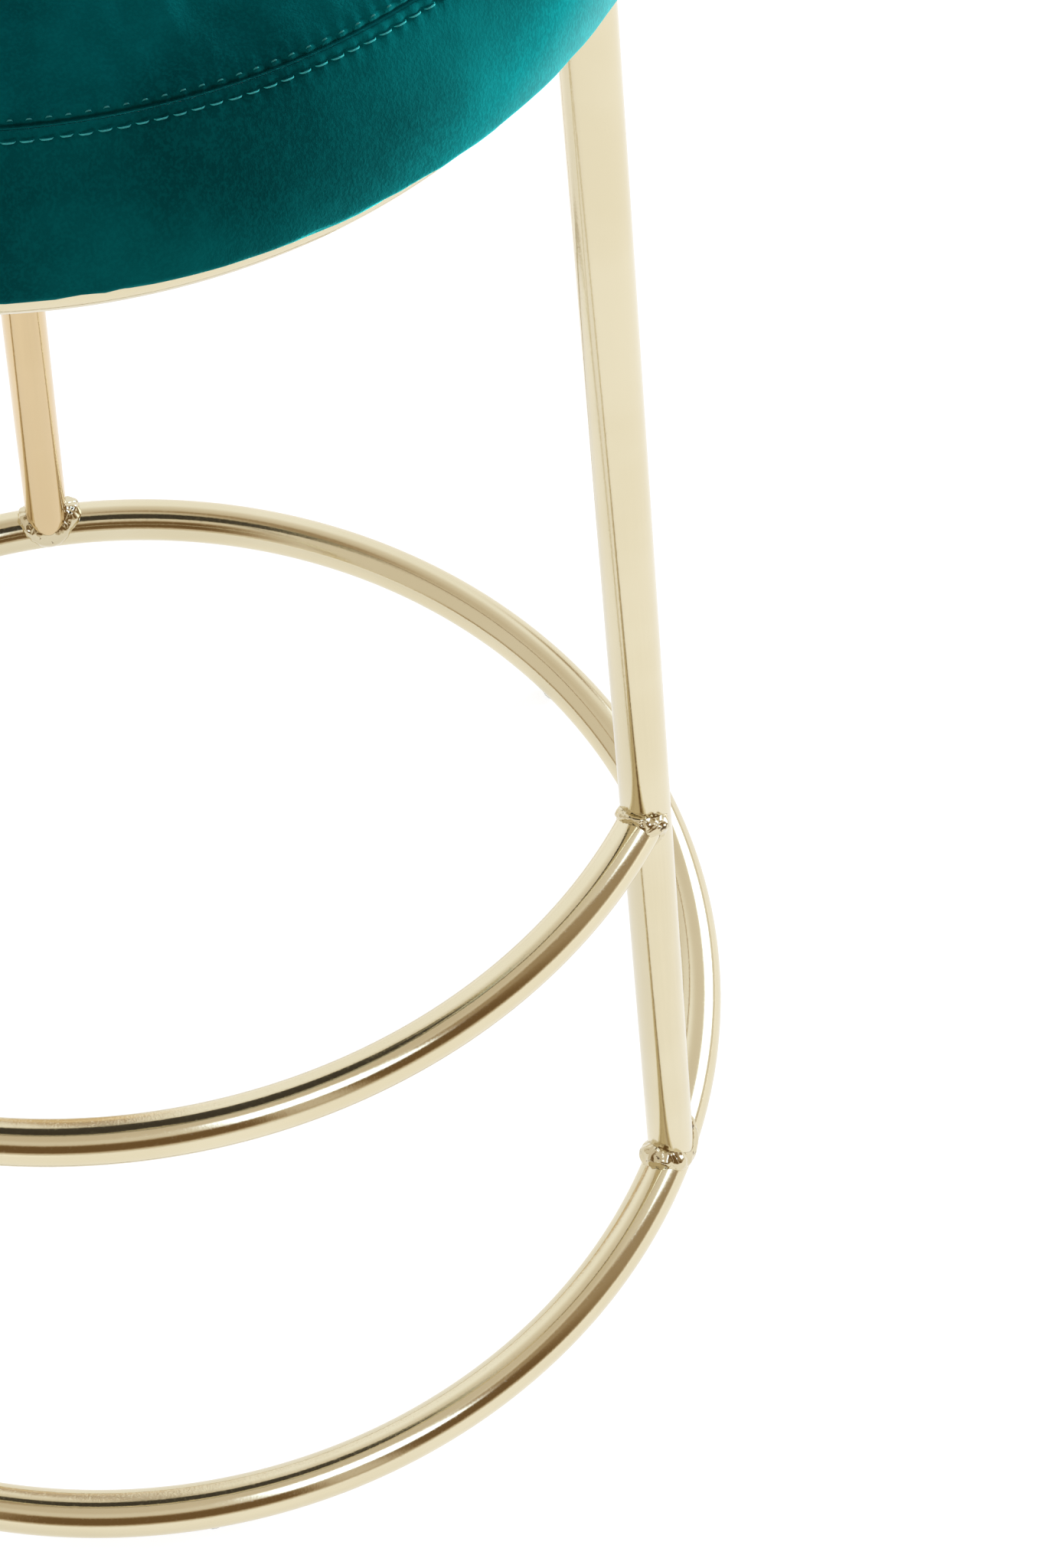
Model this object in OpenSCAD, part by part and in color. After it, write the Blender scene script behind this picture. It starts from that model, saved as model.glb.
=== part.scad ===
// Round bar stool: a welded tube frame with three legs, a ring base and an arched footrest,
// under a round upholstered seat. Millimetres, +Z up, the front towards -Y, the origin on the
// floor at the middle of the base ring.

/* [Frame] */
// Radius of the base ring, to the middle of its tube
base_r = 208; // [180:1:240]
// Height of the frame, from the floor to the top of the hoop under the seat
frame_h = 594; // [480:1:720]
// How far the middle of the hoop's tube lies inside the seat's widest line
hoop_in = 18.5; // [12:0.1:24]
// Outer diameter of the tube of the rings and legs
tube_d = 16; // [13:0.5:19]
// Wall thickness of all the tubes
tube_wall = 1.2; // [0.8:0.1:2]
// Gap between a tube end and the tube that it is fitted round
root_gap = 0.15; // [0.1:0.05:0.3]
// Diameter of the plating vents inside the welded joints
vent_d = 6; // [4:0.5:8]

/* [Footrest] */
// Height of the middle of the footrest tube above the floor
footrest_z = 219.5; // [150:0.5:320]
// Outer diameter of the footrest tube
footrest_d = 14.5; // [12:0.5:15.5]
// How far the footrest arches out in front of the line between its two ends
footrest_rise = 86; // [60:1:120]

/* [Welds] */
// Leg length of a weld bead on each tube
weld_leg = 3.4; // [1.5:0.1:4]
// How far a weld bead swells out
weld_swell = 1.1; // [0.3:0.1:1.5]
// Lift of the bead's underside off the tubes, which clears its flat facets
weld_lift = 0.14; // [0.1:0.01:0.2]

/* [Glides] */
// Height of a glide under the base ring
glide_h = 3; // [2:0.5:5]
// Diameter of a glide
glide_d = 10; // [8:0.5:12]
// Diameter of the flat that a glide stands on
glide_flat_d = 5; // [3:0.5:7]
// Diameter of the hole that takes a glide's stem
glide_hole_d = 5; // [4:0.25:6]
// Height of the dome's rounded part
glide_dome_h = 2.2; // [1:0.1:3]
// Length of the barb on a glide's stem
barb_l = 2.5; // [1.5:0.1:4]
// Overhang of the barb beyond the edge of its hole
barb_lip = 0.3; // [0.1:0.05:0.5]

/* [Seat lugs and screws] */
// Width of a lug
lug_w = 26; // [20:1:34]
// Thickness of a lug
lug_t = 3; // [2:0.5:4]
// Distance from the middle of the hoop's tube in to the seat screws
screw_in = 25.3; // [22:0.1:34]
// Diameter of a seat screw's shank
screw_d = 6; // [5:0.5:7]
// Clearance round a shank in a lug's hole, on the radius
screw_play = 0.3; // [0.2:0.05:0.6]
// Diameter of a screw's head
head_d = 12; // [10:0.5:14]
// Height of a screw's head
head_h = 3.6; // [3:0.1:5]
// Width across flats of the head's socket
socket_w = 4; // [3:0.5:5]
// Depth of the head's socket
socket_depth = 2.2; // [1.5:0.1:2.8]
// Diameter of a washer
washer_d = 14; // [12:0.5:18]
// Thickness of a washer
washer_t = 1.6; // [1:0.1:2]

/* [Threaded inserts] */
// Diameter of an insert's flange
insert_flange_d = 19; // [16:0.5:22]
// Thickness of an insert's flange
insert_flange_t = 1.5; // [1:0.1:2]
// Outer diameter of an insert's barrel
insert_barrel_d = 7.8; // [7.5:0.1:9.5]
// Length of an insert's barrel under its flange
insert_barrel_l = 9; // [6:0.5:10]
// Length of an insert's prongs
prong_l = 5; // [3:0.5:7]
// Width of a prong
prong_w = 2.4; // [1.5:0.1:3]
// Thickness of a prong
prong_t = 1; // [0.6:0.1:1.5]

/* [Seat board] */
// How far the board's edge lies inside the seat's widest line
board_in = 6.9; // [6.7:0.1:12]
// Thickness of the board
board_t = 12; // [10:0.5:18]
// Rounding of the board's lower edge
board_edge_r = 4; // [2:0.5:8]

/* [Upholstery] */
// Widest diameter of the upholstered seat
seat_d = 349.6; // [340:0.2:370]
// Rounding of the seat's lower edge, from its underside up to its widest line
side_r = 6; // [5:0.5:8]
// How far the seam round the top lies inside the seat's widest line
seam_in = 10.3; // [8:0.1:16]
// Height of the seam above the seat's underside
seam_h = 51; // [44:0.5:60]
// Rise of the crowned top above its seam
crown_h = 15; // [8:0.5:22]
// Thickness of the velvet cover
cover_t = 1.4; // [0.8:0.1:2]
// Thickness of the wadding under the cover
wadding_t = 5; // [3.5:0.5:8]
// Depth of the sewn channel along the seam
channel_depth = 1.2; // [0.5:0.1:2]
// Half of the width of the sewn channel
channel_half_w = 3.4; // [2:0.1:5]
// Gap between the two parts of the cover in the seam
seam_gap = 0.3; // [0.1:0.05:0.6]
// Width of the cover's turn-in under the board
turn_in = 31; // [24:1:36]
// Thickness of the dust cover
dust_t = 0.5; // [0.3:0.1:1]
// Clearance between fitted soft and hard layers
fit = 0.1; // [0.05:0.05:0.2]

/* [Staples] */
// Width of a staple's crown
staple_w = 11; // [8:0.5:13]
// Thickness of the staple wire across the crown
staple_t = 0.7; // [0.5:0.1:1]
// Width of the staple wire
staple_wire = 1; // [0.7:0.1:1.3]
// Length of a staple's legs
staple_l = 8; // [5:0.5:10]
// Distance of the cover's staples from the turn-in's inner edge
cover_staple_in = 5; // [3:0.5:7]
// Distance of the dust cover's staples from its edge
dust_staple_in = 3; // [2:0.5:4]
// Number of staples in the cover's turn-in
cover_staple_count = 24; // [12:12:36]
// Number of staples in the dust cover
dust_staple_count = 12; // [6:6:24]

/* [Hidden] */

$fn = 96;
gold = [0.86, 0.78, 0.58];
velvet = [0.03, 0.42, 0.41];
overrun = 1;

// Directions of the legs, and of what stands midway between them
rear_turn = 90;
right_turn = -30;
left_turn = -150;
leg_turns = [rear_turn, right_turn, left_turn];
between_turns = [-90, 30, 150];

// Turns of a quarter round, and of an insert's prongs
round_turns = [0:15:90];
prong_turns = [45:90:315];
radian = 180 / PI;

// Radii that follow the seat's widest line
seat_r = seat_d / 2;
seam_r = seat_r - seam_in;
board_r = seat_r - board_in;
hoop_r = seat_r - hoop_in;
screw_circle_r = hoop_r - screw_in;

// Frame
tube_r = tube_d / 2;
ring_z = glide_h + tube_r;
hoop_z = frame_h - tube_r;
leg_in = base_r - hoop_r;
leg_up = hoop_z - ring_z;
leg_l = norm([leg_in, leg_up]);
leg_lean = atan2(leg_in, leg_up);
leg_dir = [-sin(leg_lean), 0, cos(leg_lean)];

// Footrest: its ends meet the front legs' middles, and the arc is set by its rise
footrest_r = footrest_d / 2;
foot_leg_r = base_r - leg_in * (footrest_z - ring_z) / leg_up;
foot_half = foot_leg_r * cos(right_turn);
foot_end_y = foot_leg_r * sin(right_turn);
arc_r = (foot_half * foot_half + footrest_rise * footrest_rise) / (2 * footrest_rise);
arc_y = foot_end_y - footrest_rise + arc_r;
arc_half_turn = atan2(foot_half, arc_y - foot_end_y);

// Welds
weld_steps = 36;
weld_ripples = 12;
weld_ripple_share = 0.22;
swell_shares = [0.25, 0.5, 0.75];
halvings = 24;

// Heights of the seat's layers
pad_z = frame_h + fit;
board_z = pad_z + cover_t + fit;
board_top_z = board_z + board_t;
dust_top_z = pad_z - staple_t - fit;
dust_z = dust_top_z - dust_t;
lug_top_z = dust_z - fit;
lug_z = lug_top_z - lug_t;
screw_tip_z = board_top_z;
washer_z = lug_z - washer_t;

// Seat profile: a lower round, an upper round that meets the seam, and a crowned top
wide_z = pad_z + side_r;
seam_z = pad_z + seam_h;
seam_up = seam_z - wide_z;
upper_r = (seam_in * seam_in + seam_up * seam_up) / (2 * seam_in);
seam_turn = atan2(seam_up, upper_r - seam_in);
lower_mid_r = seat_r - side_r;
upper_mid_r = seat_r - upper_r;
lower_steps = 10;
upper_steps = 20;
crown_steps = 30;
crown_power = 4;

// Half of the angle by which the surface turns at the seam
seam_half_turn = (90 - atan(crown_power * crown_h / seam_r) - seam_turn) / 2;

// How strongly the profile's points gather towards the seam
upper_gather = 1.6;
crown_gather = 2;

// Radii under the seat
turn_in_r = lower_mid_r - turn_in;
cover_staple_r = turn_in_r + cover_staple_in;
dust_r = hoop_r - sqrt(tube_r * tube_r - (dust_z - hoop_z) * (dust_z - hoop_z)) - staple_t;
dust_staple_r = dust_r - dust_staple_in;

function unit(v) = v / norm(v);

// A tube's outer outline, with a bore where a wall is given
module tube_outline(d, wall = 0) {
    difference() {
        circle(d = d);
        if (wall > 0) circle(d = d - 2 * wall);
    }
}

// A ring of tube about the vertical axis, solid where no wall is given
module ring_tube(r, z, d, wall = 0) {
    translate([0, 0, z])
        rotate_extrude($fn = 180)
            translate([r, 0])
                tube_outline(d, wall, $fn = 48);
}

// Places its children at a leg's foot, with +Z up along the leg
module along_leg(turn) {
    rotate([0, 0, turn])
        translate([base_r, 0, ring_z])
            rotate([0, -leg_lean, 0])
                children();
}

module leg_solid(turn, d) {
    along_leg(turn) cylinder(d = d, h = leg_l);
}

// What a tube fitted round a ring is cut by
module cope(r, z) {
    ring_tube(r, z, tube_d + 2 * root_gap);
}

module leg(turn) {
    color(gold)
        difference() {
            leg_solid(turn, tube_d);
            along_leg(turn)
                translate([0, 0, -overrun])
                    cylinder(d = tube_d - 2 * tube_wall, h = leg_l + 2 * overrun);
            cope(base_r, ring_z);
            cope(hoop_r, hoop_z);
        }
}

module leg_rear() {
    leg(rear_turn);
}

module leg_front_right() {
    leg(right_turn);
}

module leg_front_left() {
    leg(left_turn);
}

module base_ring() {
    color(gold)
        difference() {
            ring_tube(base_r, ring_z, tube_d, tube_wall);
            for (turn = leg_turns)
                along_leg(turn) cylinder(d = vent_d, h = tube_d);
            for (turn = between_turns)
                rotate([0, 0, turn])
                    translate([base_r, 0, ring_z - tube_d])
                        cylinder(d = glide_hole_d, h = tube_d);
        }
}

module seat_hoop() {
    color(gold)
        difference() {
            ring_tube(hoop_r, hoop_z, tube_d, tube_wall);
            for (turn = leg_turns)
                along_leg(turn)
                    translate([0, 0, leg_l - tube_d])
                        cylinder(d = vent_d, h = tube_d);
        }
}

module footrest_arc() {
    color(gold)
        difference() {
            translate([0, arc_y, footrest_z])
                rotate([0, 0, -90 - arc_half_turn])
                    rotate_extrude(angle = 2 * arc_half_turn, $fn = 180)
                        translate([arc_r, 0])
                            tube_outline(footrest_d, tube_wall, $fn = 48);
            leg_solid(right_turn, tube_d + 2 * root_gap);
            leg_solid(left_turn, tube_d + 2 * root_gap);
        }
}

// The tube that a branch is welded to: a ring [radius, height] or a straight one [point, direction]
function middle_of(p, run) =
    is_num(run[0])
        ? [p.x * run[0] / norm([p.x, p.y]), p.y * run[0] / norm([p.x, p.y]), run[1]]
        : run[0] + run[1] * ((p - run[0]) * run[1]);

function outward(p, run) = unit(p - middle_of(p, run));

// Distance along d from p, inside the run, to where the run's surface at radius r is left
function leave(p, d, run, r, low, high, n) =
    let (mid = (low + high) / 2)
    n == 0
        ? mid
        : norm(p + d * mid - middle_of(p + d * mid, run)) < r
            ? leave(p, d, run, r, mid, high, n - 1)
            : leave(p, d, run, r, low, mid, n - 1);

function swelled(a, b, top, share) =
    a * (1 - share) * (1 - share) + top * 2 * share * (1 - share) + b * share * share;

// One slice across a bead at a turn round the branch of radius r: its root, its toe on the run,
// three points on its swell and its toe on the branch
function bead_slice(start, d, side, r, run, turn) =
    let (
        other = cross(d, side),
        ripple = 1 - weld_ripple_share * (1 + cos(turn * weld_ripples)) / 2,
        size = weld_leg * ripple,
        away = side * cos(turn) + other * sin(turn),
        run_r = tube_r + root_gap,
        p = start + away * r,
        corner = p + d * leave(p, d, run, run_r, 0, tube_d, halvings),
        n = outward(corner, run),
        skew = away - d,
        along = unit(skew - n * (skew * n)),
        past = corner + along * size,
        toe = middle_of(past, run) + outward(past, run) * (tube_r + weld_lift),
        heel = corner + d * size + away * weld_lift,
        bulge = unit(away + n),
        top = (toe + heel) / 2 + bulge * 2 * weld_swell * ripple
    )
    concat(
        [corner + bulge * weld_lift, toe],
        [for (share = swell_shares) swelled(toe, heel, top, share)],
        [heel]
    );

// A bead all round the joint where a branch leaves a run
module bead(start, d, side, r, run) {
    slices = [
        for (i = [0:weld_steps - 1]) bead_slice(start, d, side, r, run, i * 360 / weld_steps)
    ];
    count = len(slices[0]);
    points = [for (slice = slices, p = slice) p];
    faces = [
        for (i = [0:weld_steps - 1], j = [0:count - 1])
            let (
                a = i * count + j,
                b = i * count + (j + 1) % count,
                c = (i + 1) % weld_steps * count + (j + 1) % count,
                e = (i + 1) % weld_steps * count + j
            )
            each [[a, b, c], [a, c, e]]
    ];
    polyhedron(points, faces);
}

module base_welds() {
    color(gold)
        for (turn = leg_turns)
            rotate([0, 0, turn])
                bead([base_r, 0, ring_z], leg_dir, [0, 1, 0], tube_r, [base_r, ring_z]);
}

module hoop_welds() {
    color(gold)
        for (turn = leg_turns)
            rotate([0, 0, turn])
                bead([hoop_r, 0, hoop_z], -leg_dir, [0, 1, 0], tube_r, [hoop_r, hoop_z]);
}

module footrest_welds() {
    toe_turn = arc_half_turn - 90 - tube_r / arc_r * radian;
    toe = [arc_r * cos(toe_turn), arc_y + arc_r * sin(toe_turn), footrest_z];
    arc_way = [sin(toe_turn), -cos(toe_turn), 0];
    leg_foot = [base_r * cos(right_turn), base_r * sin(right_turn), ring_z];
    leg_way = [leg_dir.x * cos(right_turn), leg_dir.x * sin(right_turn), leg_dir.z];
    color(gold)
        for (flip = [0, 1])
            mirror([flip, 0, 0])
                bead(toe - arc_way * tube_r, arc_way, [0, 0, 1], footrest_r, [leg_foot, leg_way]);
}

module seat_lugs() {
    color(gold)
        for (turn = between_turns)
            rotate([0, 0, turn])
                difference() {
                    union() {
                        translate([screw_circle_r, 0, lug_z])
                            cylinder(d = lug_w, h = lug_t);
                        translate([screw_circle_r, -lug_w / 2, lug_z])
                            cube([hoop_r - screw_circle_r, lug_w, lug_t]);
                    }
                    cope(hoop_r, hoop_z);
                    translate([screw_circle_r, 0, lug_z - overrun])
                        cylinder(d = screw_d + 2 * screw_play, h = lug_t + 2 * overrun);
                }
}

// A straight run of bead in the corner under each lug
module lug_welds() {
    r = tube_r + root_gap;
    corner_turn = asin((lug_z - fit - hoop_z) / r);
    toe_turn = corner_turn - weld_leg / r * radian;
    mid_turn = (corner_turn + toe_turn) / 2;
    corner = [hoop_r - r * cos(corner_turn), lug_z - fit];
    middle = [hoop_r - r * cos(mid_turn), hoop_z + r * sin(mid_turn)];
    toe = [hoop_r - r * cos(toe_turn), hoop_z + r * sin(toe_turn)];
    heel = corner - [weld_leg, 0];
    top = (toe + heel) / 2 - [weld_swell, weld_swell];
    half_turn = atan2(lug_w / 2 - weld_leg, hoop_r);
    color(gold)
        for (turn = between_turns)
            rotate([0, 0, turn - half_turn])
                rotate_extrude(angle = 2 * half_turn, $fn = 180)
                    polygon([
                        corner,
                        heel,
                        for (share = swell_shares) swelled(heel, toe, top, share),
                        toe,
                        middle
                    ]);
}

module glide() {
    flat_r = glide_flat_d / 2;
    dome_r = glide_d / 2;
    stem_r = glide_hole_d / 2 - fit;
    bore_r = tube_r - tube_wall;
    lip_r = glide_hole_d / 2 + barb_lip;
    lip_z = ring_z - sqrt(bore_r * bore_r - lip_r * lip_r) + fit;
    difference() {
        rotate_extrude($fn = 48)
            polygon([
                [0, 0],
                for (turn = round_turns)
                    [flat_r + (dome_r - flat_r) * sin(turn), glide_dome_h * (1 - cos(turn))],
                [dome_r, ring_z],
                [0, ring_z]
            ]);
        translate([-base_r, 0, 0]) cope(base_r, ring_z);
    }
    translate([0, 0, glide_dome_h]) cylinder(r = stem_r, h = lip_z - glide_dome_h);
    translate([0, 0, lip_z]) cylinder(r1 = lip_r, r2 = stem_r / 2, h = barb_l);
}

module floor_glides() {
    color("whitesmoke")
        for (turn = between_turns)
            rotate([0, 0, turn])
                translate([base_r, 0, 0])
                    glide();
}

// Prongs of an insert, grown all round by gap where the board is cut for them
module prongs(gap = 0) {
    at = [insert_flange_d / 2 - prong_t - gap, -prong_w / 2 - gap, board_top_z - prong_l - gap];
    for (turn = prong_turns)
        rotate([0, 0, turn])
            translate(at)
                cube([prong_t + 2 * gap, prong_w + 2 * gap, prong_l + gap]);
}

module at_screws() {
    for (turn = between_turns)
        rotate([0, 0, turn])
            translate([screw_circle_r, 0, 0])
                children();
}

module t_nuts() {
    color("silver")
        at_screws()
            difference() {
                union() {
                    translate([0, 0, board_top_z]) cylinder(d = insert_flange_d, h = insert_flange_t);
                    translate([0, 0, board_top_z - insert_barrel_l])
                        cylinder(d = insert_barrel_d, h = insert_barrel_l + insert_flange_t / 2);
                    prongs();
                }
                translate([0, 0, board_top_z - insert_barrel_l - overrun])
                    cylinder(d = screw_d + 2 * fit, h = insert_barrel_l + insert_flange_t + 2 * overrun);
            }
}

module seat_screws() {
    rim_z = washer_z - head_h / 2;
    color("dimgray")
        at_screws()
            difference() {
                union() {
                    translate([0, 0, washer_z - head_h])
                        cylinder(d1 = head_d - head_h, d2 = head_d, h = head_h / 2);
                    translate([0, 0, rim_z]) cylinder(d = head_d, h = head_h / 2);
                    translate([0, 0, rim_z]) cylinder(d = screw_d, h = screw_tip_z - rim_z);
                }
                translate([0, 0, washer_z - head_h - overrun])
                    cylinder(d = socket_w / cos(30), h = socket_depth + overrun, $fn = 6);
            }
}

module screw_washers() {
    color("silver")
        at_screws()
            difference() {
                translate([0, 0, washer_z]) cylinder(d = washer_d, h = washer_t);
                translate([0, 0, washer_z - overrun])
                    cylinder(d = screw_d + 2 * fit, h = washer_t + 2 * overrun);
            }
}

// One staple, its crown under z and its legs up, grown all round by gap where its slits are cut
module staple(z, gap = 0) {
    wide = staple_wire + 2 * gap;
    for (side = [-1, 1])
        translate([-wide / 2, side * (staple_w - staple_wire) / 2 - wide / 2, z - staple_t])
            cube([wide, wide, staple_l + gap]);
    translate([-staple_wire / 2, -staple_w / 2, z - staple_t])
        cube([staple_wire, staple_w, staple_t]);
}

module around(r, count) {
    for (i = [0:count - 1])
        rotate([0, 0, (2 * i + 1) * 180 / count])
            translate([r, 0, 0])
                children();
}

module cover_staples(gap = 0) {
    color("silver")
        around(cover_staple_r, cover_staple_count) staple(pad_z, gap);
}

module dust_staples(gap = 0) {
    color("silver")
        around(dust_staple_r, dust_staple_count) staple(dust_z, gap);
}

module seat_board() {
    color("burlywood")
        difference() {
            rotate_extrude($fn = 180)
                polygon([
                    [0, board_z],
                    for (turn = round_turns)
                        [
                            board_r - board_edge_r * (1 - sin(turn)),
                            board_z + board_edge_r * (1 - cos(turn))
                        ],
                    [board_r, board_top_z],
                    [0, board_top_z]
                ]);
            at_screws() {
                translate([0, 0, board_z - overrun])
                    cylinder(d = insert_barrel_d + 2 * fit, h = board_t + 2 * overrun);
                prongs(fit);
            }
            cover_staples(fit);
            dust_staples(fit);
        }
}

// Sink of the sewn channel at a distance along the surface from the seam
function sink(x) = channel_depth * exp(-pow(x / channel_half_w, 2));

// How far from the seam an outline ends that lies a depth under the surface
function mitre(depth) = depth * tan(seam_half_turn);

// Points up the lower and upper rounds of the seat's side, inset from its surface
function lower_round(inset) = [
    for (i = [0:lower_steps - 1])
        let (turn = -90 + 90 * i / lower_steps)
        [lower_mid_r + (side_r - inset) * cos(turn), wide_z + (side_r - inset) * sin(turn)]
];

function upper_round(inset, sunk, gap) = [
    for (i = [0:upper_steps])
        let (
            reach = seam_turn - gap / upper_r * radian,
            turn = reach * (1 - pow(1 - i / upper_steps, upper_gather)),
            r = upper_r - inset - sunk * sink((seam_turn - turn) / radian * upper_r)
        )
        [upper_mid_r + r * cos(turn), wide_z + r * sin(turn)]
];

// Points across the crowned top from the seam to the middle, inset from its surface
function crown(inset, sunk, gap) = [
    for (i = [0:crown_steps])
        let (
            r = (seam_r - gap) * (1 - pow(i / crown_steps, crown_gather)),
            share = r / seam_r,
            slope = atan(crown_power * crown_h / seam_r * pow(share, crown_power - 1)),
            deep = inset + sunk * sink(seam_r - r)
        )
        [
            max(0, r - deep * sin(slope) * (i == crown_steps ? 0 : 1)),
            seam_z + crown_h * (1 - pow(share, crown_power)) - deep * cos(slope)
        ]
];

function reversed(list) = [for (i = [len(list) - 1:-1:0]) list[i]];

// Only what stands outside the board's edge, so a layer can be led down beside it
function outside_board(points) = [for (p = points) if (p.x > board_r + fit) p];

module cover_top_panel() {
    color(velvet)
        rotate_extrude($fn = 180)
            polygon(concat(
                crown(0, 1, seam_gap / 2 + mitre(channel_depth)),
                reversed(crown(cover_t, 1, seam_gap / 2 + mitre(channel_depth + cover_t)))
            ));
}

module cover_side_band() {
    color(velvet)
        difference() {
            rotate_extrude($fn = 180)
                polygon(concat(
                    [[turn_in_r, pad_z]],
                    lower_round(0),
                    upper_round(0, 1, seam_gap / 2 + mitre(channel_depth)),
                    reversed(upper_round(cover_t, 1, seam_gap / 2 + mitre(channel_depth + cover_t))),
                    reversed(lower_round(cover_t)),
                    [[turn_in_r, pad_z + cover_t]]
                ));
            cover_staples(fit);
            dust_staples(fit);
        }
}

module wadding() {
    outer = cover_t + fit;
    inner = cover_t + wadding_t;
    low_z = wide_z - sqrt(pow(side_r - outer, 2) - pow(board_r + fit - lower_mid_r, 2));
    color("white")
        rotate_extrude($fn = 180)
            polygon(concat(
                [[board_r + fit, low_z]],
                outside_board(lower_round(outer)),
                upper_round(outer, 1, mitre(channel_depth + outer)),
                crown(outer, 1, seam_gap + mitre(channel_depth + outer)),
                reversed(crown(inner, 0, seam_gap + mitre(inner))),
                reversed(upper_round(inner, 0, mitre(inner)))
            ));
}

module foam_pad() {
    inset = cover_t + wadding_t + fit;
    low_z = board_top_z + fit;
    low_r = upper_mid_r + sqrt(pow(upper_r - inset, 2) - pow(low_z - wide_z, 2));
    color("khaki")
        difference() {
            rotate_extrude($fn = 180)
                polygon(concat(
                    [[0, low_z], [low_r, low_z]],
                    [for (p = upper_round(inset, 0, mitre(inset))) if (p.y > low_z + fit) p],
                    crown(inset, 0, seam_gap + mitre(inset))
                ));
            at_screws()
                translate([0, 0, low_z - overrun])
                    cylinder(d = insert_flange_d + 2 * fit, h = insert_flange_t + overrun);
        }
}

module dust_cover() {
    color("darkslategray")
        difference() {
            translate([0, 0, dust_z]) cylinder(r = dust_r, h = dust_t, $fn = 180);
            at_screws()
                translate([0, 0, dust_z - overrun])
                    cylinder(d = screw_d + 2 * screw_play, h = dust_t + 2 * overrun);
            dust_staples(fit);
        }
}

base_ring();
leg_rear();
leg_front_right();
leg_front_left();
footrest_arc();
seat_hoop();
seat_lugs();
base_welds();
footrest_welds();
hoop_welds();
lug_welds();
floor_glides();
seat_board();
t_nuts();
seat_screws();
screw_washers();
foam_pad();
wadding();
cover_top_panel();
cover_side_band();
cover_staples();
dust_cover();
dust_staples();
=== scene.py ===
"""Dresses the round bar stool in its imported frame.

The tubes are smooth and plated and their weld beads lumpy. The velvet pad is blown up by a cloth
simulation and topstitched with two rows of thread. The small parts under the seat, a pale studio
and the photograph's camera complete it. Lengths are in metres.
"""

import logging
import math
import random
from dataclasses import dataclass, field
from enum import Enum
from typing import Any, Callable, Sequence

import bmesh
import bpy
import numpy as np
from mathutils import Matrix, Vector, noise


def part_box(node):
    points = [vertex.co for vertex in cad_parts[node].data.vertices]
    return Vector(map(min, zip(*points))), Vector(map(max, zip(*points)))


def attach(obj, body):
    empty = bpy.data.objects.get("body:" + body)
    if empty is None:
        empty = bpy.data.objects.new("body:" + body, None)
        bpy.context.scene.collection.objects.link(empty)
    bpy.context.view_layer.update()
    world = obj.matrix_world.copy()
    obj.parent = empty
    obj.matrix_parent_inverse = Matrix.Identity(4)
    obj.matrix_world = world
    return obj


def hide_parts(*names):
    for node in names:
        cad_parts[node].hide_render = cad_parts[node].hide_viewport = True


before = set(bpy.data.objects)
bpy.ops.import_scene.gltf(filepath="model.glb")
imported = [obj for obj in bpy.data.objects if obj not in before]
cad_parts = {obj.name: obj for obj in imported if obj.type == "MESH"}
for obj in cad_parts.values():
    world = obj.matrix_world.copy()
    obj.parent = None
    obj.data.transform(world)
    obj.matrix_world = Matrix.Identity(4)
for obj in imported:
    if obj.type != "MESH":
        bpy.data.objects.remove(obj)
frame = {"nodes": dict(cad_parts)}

log = logging.getLogger("bar_stool")

Array = np.ndarray
Span = tuple[float, float]
Triple = tuple[float, float, float]
Colour = Triple
Trial = tuple[Array, Array]
Material = bpy.types.Material
Piece = bpy.types.Object
Socket = bpy.types.NodeSocket
NodeTree = bpy.types.NodeTree
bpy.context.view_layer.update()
TAU = 2 * math.pi
TUBE_R = 0.008
BETWEEN_LEGS = (-90, 30, 150)


class Slot(Enum):
    """Material slot names that go with the scene's own pieces."""

    GOLD = "gold_plate"
    WELD = "weld_bead"
    GLIDE = "clear_glide"
    FOAM = "foam"
    WADDING = "wadding"
    VELVET = "velvet"
    STAPLE = "staple_wire"
    DUST = "dust_cloth"


class Leg(Enum):
    """The three legs, each with its direction from the middle in degrees."""

    REAR = 90
    FRONT_RIGHT = -30
    FRONT_LEFT = -150


def middle(node: str) -> Vector:
    """The middle of a node's box."""
    low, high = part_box(node)
    return (low + high) / 2


def reach(node: str) -> float:
    """How far a node reaches from the middle along X."""
    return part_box(node)[1].x


@dataclass(frozen=True)
class Frame:
    """The frame's measures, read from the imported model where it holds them."""

    tube_r: float = TUBE_R
    wall: float = 0.0012
    root_gap: float = 0.00015
    footrest_r: float = 0.00725
    footrest_z: float = 0.2195
    footrest_rise: float = 0.086
    ring_z: float = field(default_factory=lambda: middle("base_ring").z)
    ring_r: float = field(default_factory=lambda: reach("base_ring") - TUBE_R)
    hoop_z: float = field(default_factory=lambda: middle("seat_hoop").z)
    hoop_r: float = field(default_factory=lambda: reach("seat_hoop") - TUBE_R)

    @property
    def leg_line(self) -> Vector:
        """The way from ring to hoop along the middle of a leg that stands along +X."""
        return Vector((self.hoop_r - self.ring_r, 0, self.hoop_z - self.ring_z))

    @property
    def footrest_arc(self) -> Triple:
        """The arc of the footrest's middle line, whose ends meet the legs' middle lines.

        Returns:
            The arc's radius, its middle's y and half of its turn in radians.
        """
        share = (self.footrest_z - self.ring_z) / (self.hoop_z - self.ring_z)
        leg_r = self.ring_r + (self.hoop_r - self.ring_r) * share
        half = leg_r * math.cos(math.radians(Leg.FRONT_RIGHT.value))
        end_y = leg_r * math.sin(math.radians(Leg.FRONT_RIGHT.value))
        arc_r = (half**2 + self.footrest_rise**2) / (2 * self.footrest_rise)
        arc_y = end_y - self.footrest_rise + arc_r
        return arc_r, arc_y, math.atan2(half, arc_y - end_y)


# Node trees

FLOAT, COLOUR = "NodeSocketFloat", "NodeSocketColor"


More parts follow.
